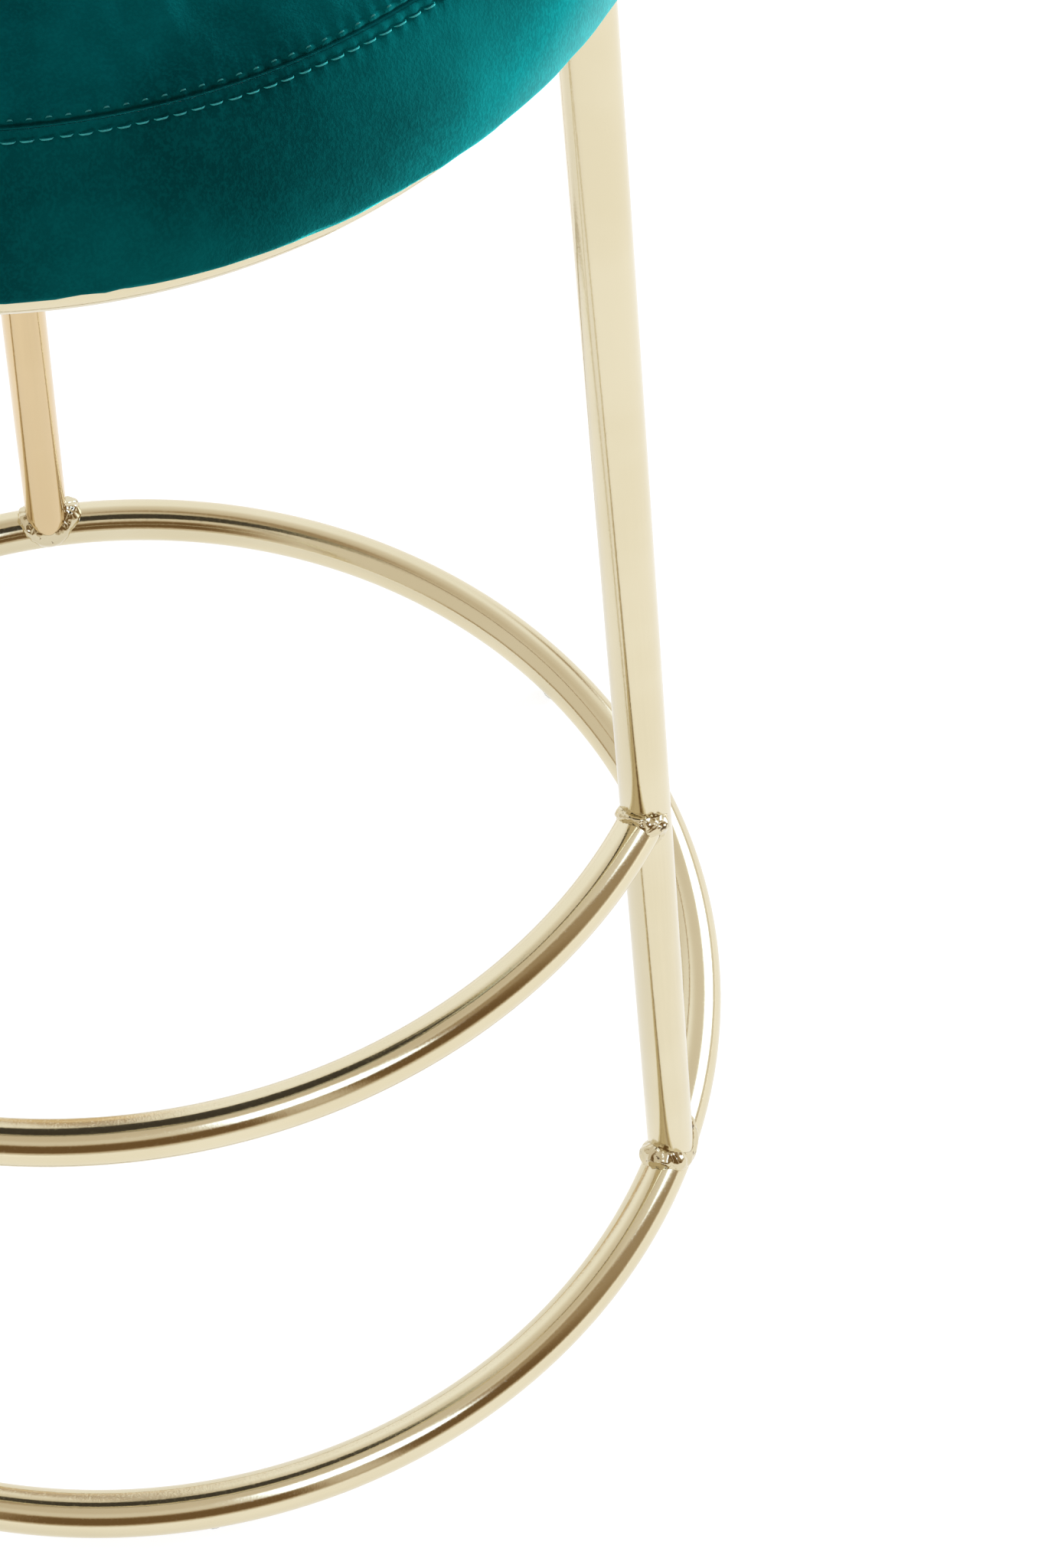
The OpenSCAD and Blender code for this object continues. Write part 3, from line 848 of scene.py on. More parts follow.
@dataclass
class TubeFrame:
    """The welded frame: two rings, three legs, the footrest and their beads."""

    frame: Frame
    finishes: dict[str, Material]
    around: int = 48
    ring_steps: int = 300
    leg_shares: tuple[float, ...] = (0, 0.004, 0.02, 0.25, 0.5, 0.75, 0.98, 0.996, 1.0)
    end_shares: tuple[float, ...] = (0.985, 0.997, 1.0)
    arc_steps: int = 110
    arc_share: float = 0.97
    saddle_reach: float = 0.03
    arc_end_reach: float = 0.12

    def build(self) -> None:
        """Builds and settles every piece of the frame."""
        f = self.frame
        self.ring("base_ring_tube", f.ring_r, f.ring_z, "base_ring")
        self.ring("seat_hoop_tube", f.hoop_r, f.hoop_z, "seat_hoop")
        for leg in Leg:
            self.leg(leg)
        self.footrest()
        self.ring_beads()
        self.footrest_beads()

    def ring(self, name: str, radius: float, height: float, node: str) -> None:
        """A closed ring of tube.

        Args:
            name: The piece's name.
            radius: The ring's radius, to the middle of the tube.
            height: The height of the tube's middle.
            node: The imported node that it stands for.
        """
        v = circle(self.around)[None, :]
        r = radius + self.frame.tube_r * np.cos(v)
        z = height + self.frame.tube_r * np.sin(v)
        rows = revolved(r, z, circle(self.ring_steps)[:, None])
        mesher = Mesher()
        mesher.grid(rows[:, ::-1], ring=True)
        settle(mesher.build(name, self.finishes["gold"]), Slot.GOLD, node)

    def leg_points(self, leg_r: float, v: Array, along: Array) -> Array:
        """Points on a tube about the middle line of a leg that stands along +X.

        Args:
            leg_r: The tube's radius.
            v: Turns round the tube.
            along: Distances up the middle line, shaped as v.

        Returns:
            The points.
        """
        way = np.array(self.frame.leg_line.normalized())
        side = np.array((0.0, 1.0, 0.0))
        up = np.cross(way, side)
        foot = np.array((self.frame.ring_r, 0.0, self.frame.ring_z))
        rim = leg_r * (np.cos(v)[..., None] * side + np.sin(v)[..., None] * up)
        return foot + rim + along[..., None] * way

    def leg(self, leg: Leg) -> None:
        """A straight tube whose two ends are coped round the rings.

        Args:
            leg: Which leg it is.
        """
        f = self.frame
        v = circle(self.around)
        length = f.leg_line.length
        walls = []
        for leg_r in (f.tube_r, f.tube_r - f.wall):

            def coped(ring_r: float, ring_z: float, start: float, end: float) -> Array:
                """Where the tube leaves a ring.

                Args:
                    ring_r: The ring's radius.
                    ring_z: Its height.
                    start: A distance up the leg that lies in the ring.
                    end: One that lies outside it.

                Returns:
                    Distances up the leg, one for each turn.
                """

                def in_ring(along: Array) -> Array:
                    """Whether points at distances up the leg lie in the ring's tube."""
                    x, y, z = self.leg_points(leg_r, v, along).T
                    return np.hypot(np.hypot(x, y) - ring_r, z - ring_z) < f.tube_r + f.root_gap

                return bisect(in_ring, np.full_like(v, start), np.full_like(v, end))

            low = coped(f.ring_r, f.ring_z, 0.0, self.saddle_reach)
            top = coped(f.hoop_r, f.hoop_z, length, length - self.saddle_reach)
            along = low[None] + (top - low)[None] * np.array(self.leg_shares)[:, None]
            rows = self.leg_points(leg_r, v[None] + 0 * along, along)
            walls.append(moved(rows[:, ::-1], turned(leg.value)))
        mesher = Mesher()
        mesher.pipe(*walls)
        name = f"leg_{leg.name.lower()}"
        # The rear leg takes the plating with a painted warm reflection.
        finish = self.finishes["gold_painted_warm_reflection" if leg is Leg.REAR else "gold"]
        settle(mesher.build(f"{name}_tube", finish, 50), Slot.GOLD, name)

    def footrest(self) -> None:
        """The arched footrest, coped round the front legs."""
        f = self.frame
        arc_r, arc_y, half = f.footrest_arc
        v = circle(self.around)
        right = turned(Leg.FRONT_RIGHT.value)
        way = np.array(right @ f.leg_line.normalized())
        foot = np.array(right @ Vector((f.ring_r, 0, f.ring_z)))
        ends = np.array(self.end_shares)
        even = np.linspace(-self.arc_share, self.arc_share, self.arc_steps)
        shares = np.concatenate([-ends[::-1], even, ends])
        walls = []
        for tube_r in (f.footrest_r, f.footrest_r - f.wall):

            def at(turn: Array) -> Array:
                """Points round the arc's tube, each at a turn from the arc's front."""
                out, up = arc_r + tube_r * np.cos(v), f.footrest_z + tube_r * np.sin(v) + 0 * turn
                return np.stack([out * np.sin(turn), arc_y - out * np.cos(turn), up], axis=-1)

            def clear(turn: Array) -> Array:
                """Whether points at a turn lie outside the right leg."""
                p = at(turn) - foot
                return np.linalg.norm(p - (p @ way)[:, None] * way, axis=1) > f.tube_r + f.root_gap

            end = bisect(clear, np.full_like(v, half - self.arc_end_reach), np.full_like(v, half))
            walls.append(np.stack([at(end * share) for share in shares]))
        mesher = Mesher()
        mesher.pipe(*walls)
        piece = mesher.build("footrest_arc_tube", self.finishes["gold"], 50)
        settle(piece, Slot.GOLD, "footrest_arc")

    def ring_beads(self) -> None:
        """The weld beads of the legs at the base ring and the hoop."""
        f = self.frame
        way = np.array(f.leg_line.normalized())
        side = np.array((0.0, 1.0, 0.0))
        lobes = {
            Leg.REAR: (((95.0, 1.25), (190.0, 1.45)), 95.0),
            Leg.FRONT_RIGHT: (((145.0, 1.5), (215.0, 1.15)), 290.0),
            Leg.FRONT_LEFT: (((30.0, 1.4), (300.0, 1.2)), 140.0),
        }
        base, hoop = Mesher(), Mesher()
        for number, leg in enumerate(Leg):
            own = {"lobes": lobes[leg][0], "calm": lobes[leg][1]}
            for mesher, r, z, up, seed, more in (
                (base, f.ring_r, f.ring_z, way, number, own),
                (hoop, f.hoop_r, f.hoop_z, -way, number + 5, {}),
            ):
                run = Run(f.tube_r, ring_r=r, ring_z=z)
                start = np.array((r, 0.0, z))
                bead = Bead(start, up, side, f.tube_r, run, seed, **more)
                bead.add_to(mesher, turned(leg.value))
        for mesher, place in ((base, "base"), (hoop, "hoop")):
            self.settle_beads(mesher, place)

    def footrest_beads(self) -> None:
        """The weld beads of the footrest at the two front legs, the left one mirrored."""
        f = self.frame
        arc_r, arc_y, half = f.footrest_arc
        toe = half - f.tube_r / arc_r
        arc_way = np.array((math.cos(toe), math.sin(toe), 0.0))
        toe_at = np.array((arc_r * math.sin(toe), arc_y - arc_r * math.cos(toe), f.footrest_z))
        right = turned(Leg.FRONT_RIGHT.value)
        foot = np.array(right @ Vector((f.ring_r, 0.0, f.ring_z)))
        run = Run(f.tube_r, foot=foot, way=np.array(right @ f.leg_line.normalized()))
        start, up = toe_at + arc_way * f.tube_r, np.array((0.0, 0.0, 1.0))
        lobes = ((43.0, 0.7), (-57.0, 1.35))
        mesher = Mesher()
        for flip in (1, -1):
            shape = {"lobes": lobes, "slack": 0.36, "swell": 0.0016, "rough": 1.6}
            bead = Bead(start, -arc_way, up, f.footrest_r, run, seed=11 + flip, **shape)
            bead.add_to(mesher, Matrix.Diagonal((flip, 1, 1)))
        self.settle_beads(mesher, "footrest")

    def settle_beads(self, mesher: Mesher, place: str) -> None:
        """Makes and settles the beads of one place."""
        piece = mesher.build(f"{place}_weld_beads", self.finishes["weld"], 70, closed=False)
        settle(piece, Slot.WELD, f"{place}_welds")


@dataclass
class Run:
    """The tube that a branch is welded to: a ring by its radius and height, or a straight tube."""

    tube_r: float
    ring_r: float = 0.0
    ring_z: float = 0.0
    foot: Array | None = None
    way: Array | None = None

    def centre(self, p: Array) -> Array:
        """The tube's middle line near some points.

        Args:
            p: The points, shaped (n, 3).

        Returns:
            The nearest point of the line to each.
        """
        if self.foot is not None:
            return self.foot + ((p - self.foot) @ self.way)[:, None] * self.way
        flat = np.hypot(p[:, 0], p[:, 1])[:, None]
        return np.concatenate([p[:, :2] * self.ring_r / flat, np.full_like(flat, self.ring_z)], 1)

    def outward(self, p: Array) -> Array:
        """Directions out of the tube at points."""
        return unit(p - self.centre(p))


@dataclass
class Bead:
    """One weld bead all round a joint, with lumps, ripples and pits.

    The branch's middle line leaves start along way, and turns round it count from side. A lobe is
    a turn in degrees and the bead's size there; the skin is smoother near the calm turn. Waves
    and lumps are noise with a height and a frequency.
    """

    start: Array
    way: Array
    side: Array
    branch_r: float
    run: Run
    seed: int
    lobes: tuple[Span, ...] = ()
    calm: float | None = None
    rough: float = 1.0
    slack: float = 1.0
    leg: float = 0.0036
    swell: float = 0.0012
    steps: int = 240
    arc_steps: int = 18
    lobe_width: float = 0.52
    calm_width: float = 0.8
    calm_share: float = 0.8
    joint_reach: float = 0.016
    joint_gap: float = 0.00005
    skin_lift: float = 0.00002
    root_depth: float = 0.0004
    slow_wave: Triple = (0.26, 1.6, 7.3)
    quick_wave: Triple = (0.14, 5.5, 3.1)
    coarse_lumps: Span = (0.00085, 250)
    fine_lumps: Span = (0.00014, 620)
    pits: Triple = (0.0010, 460, 0.30)

    def size(self, turn: Array) -> Array:
        """The bead's size at each turn.

        Args:
            turn: Turns round the branch.

        Returns:
            Sizes, as a share of the bead's leg length.
        """
        share = np.full_like(turn, self.slack)
        for height, spread, shift in (self.slow_wave, self.quick_wave):
            x, y, z = np.cos(turn) * spread, np.sin(turn) * spread, self.seed * shift
            share += height * np.array([noise.noise(Vector((a, b, z))) for a, b in zip(x, y)])
        for at, height in self.lobes:
            share += (height - self.slack) * bell(off_turn(turn, at), self.lobe_width)
        return np.clip(share, 0.3, 1.6)

    def add_to(self, mesher: Mesher, matrix: Matrix) -> None:
        """Adds the bead's closed skin to a piece.

        Args:
            mesher: Collects the piece.
            matrix: Turns or mirrors the bead into its place.
        """
        turn = circle(self.steps)
        other = np.cross(self.way, self.side)
        away = np.cos(turn)[:, None] * self.side + np.sin(turn)[:, None] * other
        p = self.start + away * self.branch_r
        joint_r = self.run.tube_r + self.joint_gap

        def inside(t: Array) -> Array:
            """Whether points at t along the branch lie in the run."""
            q = p + t[:, None] * self.way
            return np.linalg.norm(q - self.run.centre(q), axis=1) < joint_r

        out_at = bisect(inside, np.zeros(self.steps), np.full(self.steps, self.joint_reach))
        corner = p + out_at[:, None] * self.way
        size = (self.leg * self.size(turn))[:, None]
        out = self.run.outward(corner)
        skew = away - self.way
        past = corner + unit(skew - out * np.sum(skew * out, axis=1)[:, None]) * size
        toe_lift = self.run.tube_r + self.skin_lift
        toe = self.run.centre(past) + self.run.outward(past) * toe_lift
        heel = corner + self.way * size + away * self.skin_lift
        bulge = unit(away + out)
        top = ((toe + heel) / 2 + bulge * 2 * self.swell * size / self.leg)[:, None]
        share = np.linspace(0, 1, self.arc_steps)[None, :, None]
        skin = toe[:, None] * (1 - share) ** 2 + heel[:, None] * share**2
        skin = skin + top * 2 * share * (1 - share)
        ease = self.rough * size[:, 0] / self.leg
        if self.calm is not None:
            ease = ease * (1 - self.calm_share * bell(off_turn(turn, self.calm), self.calm_width))
        skin = skin + self.lumps(skin, share) * ease[:, None, None] * bulge[:, None]
        root = (corner - bulge * self.root_depth)[:, None]
        rows = np.concatenate([root, skin], axis=1)
        mesher.grid(facing_out(moved(rows, matrix)), ring=True)

    def lumps(self, skin: Array, share: Array) -> Array:
        """Height of the lumps and pits over the bead's skin.

        Args:
            skin: The skin's points, shaped (turn, arc, 3).
            share: The share of the arc that each column lies at.

        Returns:
            Heights, shaped (turn, arc, 1), none at the skin's edges.
        """
        shift = Vector((self.seed * 0.7, self.seed * 1.3, 0))
        heights = []
        for q in skin.reshape(-1, 3):
            point = Vector(q)
            height = sum(
                deep * noise.noise(point * often + shift)
                for deep, often in (self.coarse_lumps, self.fine_lumps)
            )
            deep, often, rare = self.pits
            heights.append(height + deep * min(0.0, noise.noise(point * often - shift) + rare))
        edge = np.sin(math.pi * share) ** 0.6
        return np.array(heights).reshape(*skin.shape[:2], 1) * edge


# The upholstered pad


@dataclass(frozen=True)
class StitchRow:
    """One row of topstitching, by its distance from the seam, positive down the side.

    The spans at the end are those of the random draws for each stitch.
    """

    name: str
    finish: str
    at: float
    radius: float
    thread_r: float
    cover: float
    sink: float
    wander: int
    seed: int
    pitch: float = 0.00432
    dive: float = 0.0009
    hole_width: float = 0.00075
    pull: float = 0.00022
    pull_width: float = 0.0026
    shifts: Span = (-0.03, 0.03)
    lengths: Span = (0.92, 1.06)
    lifts: Span = (-0.00008, 0.00006)
    slips: Span = (-0.00012, 0.00012)

    @property
    def count(self) -> int:
        """The number of stitches round the seat."""
        return round(TAU * self.radius / self.pitch)


STITCH_ROWS = (
    # The upper row takes the thread with painted shade.
    StitchRow("topstitch_upper_row", "sunk_thread_painted_shade", -0.0024, 0.1622, 0.00018, 0.34, 0.00055, 3, 22),
    StitchRow("topstitch_lower_row", "thread", 0.0030, 0.1668, 0.00021, 0.74, 0.00050, 8, 21),
)


@dataclass
class SeatPad:
    """The velvet pad.

    It is a revolved profile, blown up by a cloth simulation between its seam and its underside,
    then given its sewn channel, stitch holes and gathered turn-in. Places on the profile count
    from the seam, negative over the crown and positive down the side.
    """

    finishes: dict[str, Material]
    wide_r: float = 0.1748
    side_r: float = 0.006
    seam_r: float = 0.1645
    base_z: float = 0.5941
    seam_up: float = 0.051
    crown: float = 0.015
    crown_power: float = 4.0
    turn_in: float = 0.031
    seam_round: float = 0.0022
    seam_soft: float = 0.0075
    cover_t: float = 0.0014
    back_share: float = 0.9
    fine_steps: int = 960
    coarse_steps: int = 192
    frames: int = 10
    seam_row: int = 30
    cloth_inset: float = 0.0006
    near_seam: float = 0.0085
    half_gap: float = 0.00006
    broad_dip: Triple = (0.0006, 0.0002, 0.0050)
    joint_dip: Triple = (0.0017, -0.0010, 0.0009)
    fold_depth: float = 0.00022
    fold_reach: float = 0.006
    wadding_in: float = 0.0018
    wadding_to: float = 0.0062
    foam_in: float = 0.0066
    clear: float = 0.0002
    pinch: float = 0.0022

    def __post_init__(self) -> None:
        """Works out the profile's derived measures."""
        self.wide_z = self.base_z + self.side_r
        self.seam_z = self.base_z + self.seam_up
        inward, up = self.wide_r - self.seam_r, self.seam_z - self.wide_z
        self.upper_r = (inward**2 + up**2) / (2 * inward)
        self.seam_turn = math.atan2(up, self.upper_r - inward)
        self.profile = self.make_profile()

    def make_profile(self) -> Array:
        """Finely spaced points of the profile, rounded at the seam.

        Returns:
            Rows of radius, height and distance from the seam, from the crown's middle over the
            side to the turn-in.
        """
        step, blur_steps = 0.0001, 80
        r = np.linspace(0, self.seam_r, 700)
        rise = self.crown * (1 - (r / self.seam_r) ** self.crown_power)
        top = np.stack([r, self.seam_z + rise], axis=1)

        def arc(radius: float, turns: Array) -> Array:
            """Points round an arc that touches the widest line."""
            r = self.wide_r - radius + radius * np.cos(turns)
            return np.stack([r, self.wide_z + radius * np.sin(turns)], axis=1)

        side = arc(self.upper_r, np.linspace(self.seam_turn, 0, 260)[1:])
        low = arc(self.side_r, np.linspace(0, -math.pi / 2, 200)[1:])
        low_r = self.wide_r - self.side_r
        r = np.linspace(low_r, low_r - self.turn_in, 120)[1:]
        under = np.stack([r, np.full_like(r, self.base_z)], axis=1)
        points = np.concatenate([top, side, low, under])
        gaps = np.linalg.norm(np.diff(points, axis=0), axis=1)
        lengths = np.concatenate([[0], np.cumsum(gaps)])
        seam_at = lengths[len(top) - 1]
        self.under_at = lengths[len(top) + len(side) + len(low) - 1] - seam_at
        along = np.arange(lengths[0] - seam_at, lengths[-1] - seam_at, step)
        reach = np.arange(-blur_steps, blur_steps + 1) * step
        blur = np.exp(-((reach / self.seam_round) ** 2) / 2)
        near = bell(along, self.seam_soft)
        columns = []
        for column in points.T:
            values = np.interp(along, lengths - seam_at, column)
            blurred = np.convolve(values, blur / blur.sum(), "same")
            columns.append(values + near * (blurred - values))
        return np.column_stack([*columns, along])

    def at(self, along: Array) -> tuple[Array, Array]:
        """Radius and height of the profile at distances from the seam."""
        r, z, places = self.profile.T
        return np.interp(along, places, r), np.interp(along, places, z)

    def slope(self, along: Array) -> tuple[Array, Array]:
        """The profile's outward normal, softened near the seam.

        Args:
            along: Distances from the seam.

        Returns:
            The normal's part along the radius and its part upwards.
        """
        step = 0.0004 + 0.0020 * bell(along, 0.004)
        r0, z0 = self.at(along - step)
        r1, z1 = self.at(along + step)
        n = np.stack([-(z1 - z0), r1 - r0])
        n /= np.maximum(np.linalg.norm(n, axis=0), 1e-9)
        return n[0], n[1]

    def swelling(self) -> Trial:
        """Simulates the cover's cloth, held at the seam and the turn-in.

        Returns:
            The rows' distances from the seam, and how far the cloth stands off the profile along
            its normal, shaped (row, step).
        """
        over = np.linspace(self.profile[0, 2] * 0.96, -0.004, self.seam_row)
        rows = np.concatenate([over, [0.0], np.linspace(0.004, self.under_at, 24)])
        r, z = self.at(rows)
        nr, nz = self.slope(rows)
        draw = np.random.default_rng(7).normal(size=self.coarse_steps + 8)
        pull = 0.0010 + 0.0006 * np.convolve(draw, np.ones(9) / 3, mode="valid")
        inset = np.full((len(rows), self.coarse_steps), self.cloth_inset)
        inset[self.seam_row] += np.clip(pull, 0.0, 0.0030)
        inset_r, inset_z = r[:, None] - nr[:, None] * inset, z[:, None] - nz[:, None] * inset
        points = revolved(inset_r, inset_z, circle(self.coarse_steps))
        mesher = Mesher()
        numbers = mesher.grid(points[:, ::-1])[:, ::-1]
        mesher.cap(numbers[0])
        cloth = mesher.build("pad_cloth_trial", self.finishes["velvet"], closed=False)
        held = np.concatenate([numbers[self.seam_row], numbers[-1]]).tolist()
        found = self.blown(cloth, held)[numbers.reshape(-1)].reshape(*points.shape)
        flat = np.hypot(found[..., 0], found[..., 1]) - r[:, None]
        off = flat * nr[:, None] + (found[..., 2] - z[:, None]) * nz[:, None]
        low, high = off.min() * 1000, off.max() * 1000
        log.info("cloth stands %.2f to %.2f mm off the profile", low, high)
        return rows, np.clip(off, -0.003, 0.0012)

    def blown(self, cloth: Piece, held: list[int]) -> Array:
        """Blows a cloth up, and removes it.

        Args:
            cloth: The cloth at rest.
            held: The numbers of the points that are sewn down.

        Returns:
            Where its points end, shaped (point, 3).
        """
        cloth.vertex_groups.new(name="sewn").add(held, 1.0, "REPLACE")
        modifier = cloth.modifiers.new("Cloth", "CLOTH")
        for name, value in {
            "quality": 5,
            "mass": 0.3,
            "tension_stiffness": 40,
            "compression_stiffness": 40,
            "shear_stiffness": 20,
            "bending_stiffness": 0.4,
            "shrink_min": -0.002,
            "shrink_max": -0.002,
            "use_pressure": True,
            "uniform_pressure_force": 3.0,
            "vertex_group_mass": "sewn",
        }.items():
            setattr(modifier.settings, name, value)
        modifier.settings.effector_weights.gravity = 0.0
        modifier.point_cache.frame_start, modifier.point_cache.frame_end = 1, self.frames
        scene = bpy.context.scene
        for number in range(1, self.frames + 1):
            scene.frame_set(number)
        evaluated = cloth.evaluated_get(bpy.context.evaluated_depsgraph_get())
        mesh = evaluated.to_mesh()
        found = np.empty(len(mesh.vertices) * 3, np.float32)
        mesh.vertices.foreach_get("co", found)
        evaluated.to_mesh_clear()
        scene.frame_set(1)
        bpy.data.objects.remove(cloth)
        return found.reshape(-1, 3)

    def relief(self, along: Array, turn: Array) -> Array:
        """How deep the surface is sunk.

        The seam has a sewn channel with a joint and two rows of stitches. The cover has small
        gathers where it is turned in under the board.

        Args:
            along: Distances from the seam, shaped (row, 1).
            turn: Turns round the seat, shaped (1, step).

        Returns:
            Depths, shaped (row, step).
        """
        depth = 0 * turn
        for deep, place, width in (self.broad_dip, self.joint_dip):
            depth = depth + deep * bell(along - place, width)
        for row in STITCH_ROWS:
            pulled = np.cos(turn * row.count)
            wander = np.sin(turn * 37 + row.wander) * np.sin(turn * 11 + row.wander)
            hole = row.sink * (0.85 + 0.3 * wander) * (0.55 + 0.45 * pulled)
            depth = depth + hole * bell(along - row.at, row.hole_width)
            depth = depth + row.pull * pulled * bell(along - row.at, row.pull_width)
        turned_in = np.clip((along - self.under_at) / (2 * self.fold_reach) + 0.5, 0, 1)
        wave = np.sin(turn * 52 + 1.6 * np.sin(turn * 9)) * np.sin(turn * 31 + 2.0)
        return depth + turned_in * self.fold_depth * (1.0 - wave)

    def surface(self, along: Array, depth: float, trial: Trial) -> Array:
        """The cover's points.

        Args:
            along: The rows' distances from the seam.
            depth: How far they lie below the cover's outside.
            trial: What the simulation gave.

        Returns:
            Points, shaped (row, step, 3).
        """
        rows, off = trial
        turn = circle(self.fine_steps)
        spread = np.stack([np.interp(along, rows, column) for column in off.T], axis=1)
        cyclic = np.concatenate([spread, spread[:, :1]], axis=1)
        coarse = np.linspace(0, TAU, off.shape[1] + 1)
        swell = np.stack([np.interp(turn, coarse, row) for row in cyclic])
        r, z = self.at(along)
        nr, nz = self.slope(along)
        lift = swell * np.clip(np.abs(along) / 0.006, 0, 1)[:, None]
        lift = lift - self.relief(along[:, None], turn[None]) - depth
        return revolved(r[:, None] + nr[:, None] * lift, z[:, None] + nz[:, None] * lift, turn)

    def spacing(self, end: float, count: int = 30, power: float = 1.25) -> Array:
        """Distances from the panels' gap to an end, crowded at the gap."""
        start = math.copysign(self.half_gap, end)
        return start + (end - start) * np.linspace(0, 1, count) ** power

    def panel(self, name: str, along: Array, trial: Trial, finish: str, node: str) -> None:
        """One cover panel with its thickness.

        Args:
            name: The piece's name.
            along: Its rows' distances from the seam. Rows over the crown close at its middle.
            trial: What the simulation gave.
            finish: Its velvet.
            node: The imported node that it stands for.
        """
        mesher = Mesher()
        outer = mesher.grid(self.surface(along, 0.0, trial))
        back = self.surface(along, self.cover_t * self.back_share, trial)
        inner = mesher.grid(back[:, ::-1])
        mesher.bridge(outer[-1], inner[-1][::-1])
        if along[0] < 0:
            mesher.cap(outer[0])
            mesher.cap(inner[0])
        else:
            mesher.bridge(inner[0][::-1], outer[0])
        piece = settle(mesher.build(name, self.finishes[finish], 80), Slot.VELVET, node)

    def build(self) -> None:
        """Builds the two velvet panels, what is under them and the topstitching."""
        trial = self.swelling()
        start, end = self.profile[0, 2], self.profile[-1, 2]
        near = self.near_seam
        crown = np.linspace(start * 0.985, -near, 64)[:-1]
        top = np.concatenate([crown, self.spacing(-near)[::-1]])
        side = np.concatenate([self.spacing(near), np.linspace(near, end, 96)[1:]])
        self.panel("velvet_top_panel", top, trial, "velvet", "cover_top_panel")
        # The side band takes the velvet with painted light.
        self.panel("velvet_side_band", side, trial, "band_velvet_painted_light", "cover_side_band")
        self.inside()
        for row in reversed(STITCH_ROWS):
            self.topstitch(row)

    def inside(self) -> None:
        """The foam on the board, and the wadding over it and down the board's edge."""
        board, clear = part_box("seat_board")[1], self.clear
        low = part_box("wadding")[0].z + clear
        outer = self.layer(self.wadding_in, low, board.x + clear)
        inner = self.layer(self.wadding_to, board.z + clear, 0.0)
        edge_r, base_z = board.x + 1.5 * clear, board.z + 1.5 * clear
        shell = np.concatenate([outer, [[edge_r, low], [edge_r, board.z]], inner[::-1]])
        core = self.layer(self.foam_in, board.z + 2 * clear, 0.0)
        core = np.concatenate([core, [[core[-1, 0], base_z], [core[0, 0], base_z]]])
        for name, outline, slot, node in (
            ("fibre_wadding_wrap", shell, Slot.WADDING, "wadding"),
            ("foam_core", core, Slot.FOAM, "foam_pad"),
        ):
            mesher = Mesher()
            mesher.rod(revolved(outline[:, :1], outline[:, 1:], circle(96)))
            piece = settle(mesher.build(name, self.finishes[slot.value], 60), slot, node)

    def layer(self, inset: float, low: float, inner_r: float) -> Array:
        """An outline a depth under the cover, down to a height and out to a radius.

        Args:
            inset: Its depth under the cover's outside, away from the seam.
            low: Height at which it ends.
            inner_r: Radius at which it ends.

        Returns:
            Points (radius, height) from the crown's middle outwards.
        """
        along = np.linspace(self.profile[0, 2] * 0.97, self.under_at, 110)
        r, z = self.at(along)
        nr, nz = self.slope(along)
        deep = inset + self.pinch * bell(along + 0.0008, 0.007)
        points = np.stack([r - nr * deep, z - nz * deep], axis=1)
        return points[(points[:, 1] > low) & ((points[:, 0] > inner_r) | (along < 0))]

    def topstitch(self, row: StitchRow) -> None:
        """A row of separate stitches that dive into the velvet at both ends.

        Args:
            row: The row's measures, seed and finish.
        """
        rings, sides = 9, 8
        count, pitch = row.count, row.pitch
        draw = random.Random(row.seed)
        r, z = self.at(np.array([row.at]))
        nr, nz = self.slope(np.array([row.at]))
        share = np.abs(np.linspace(-1, 1, rings))
        thin = (row.thread_r * (1 - 0.45 * share**4))[:, None]
        across, over = np.cos(circle(sides)), np.sin(circle(sides))
        mesher = Mesher()
        for number in range(count):
            mid = (number + 0.5) * TAU / count + draw.uniform(*row.shifts) * pitch / row.radius
            half = row.cover * pitch / 2 * draw.uniform(*row.lengths) / row.radius
            lift = draw.uniform(*row.lifts)
            slip = draw.uniform(*row.slips)
            turn = mid + half * np.linspace(-1, 1, rings)
            stitch = np.round(turn * count / TAU - 0.5) * TAU / count + math.pi / count
            rest = self.relief(np.array([[row.at]]), stitch[None])[0]
            height = lift + row.thread_r * 1.1 - row.dive * share**4.5 - rest
            mid_r = (r + nr * height + slip * nz)[:, None]
            mid_z = (z + nz * height - slip * nr)[:, None]
            rim_r = mid_r + thin * (across * nr - over * nz)
            rim_z = mid_z + thin * (across * nz + over * nr)
            mesher.rod(revolved(rim_r, rim_z, turn[:, None]))
        settle(mesher.build(row.name, self.finishes[row.finish], 60), Slot.VELVET)


# Small parts under the seat and the floor glides


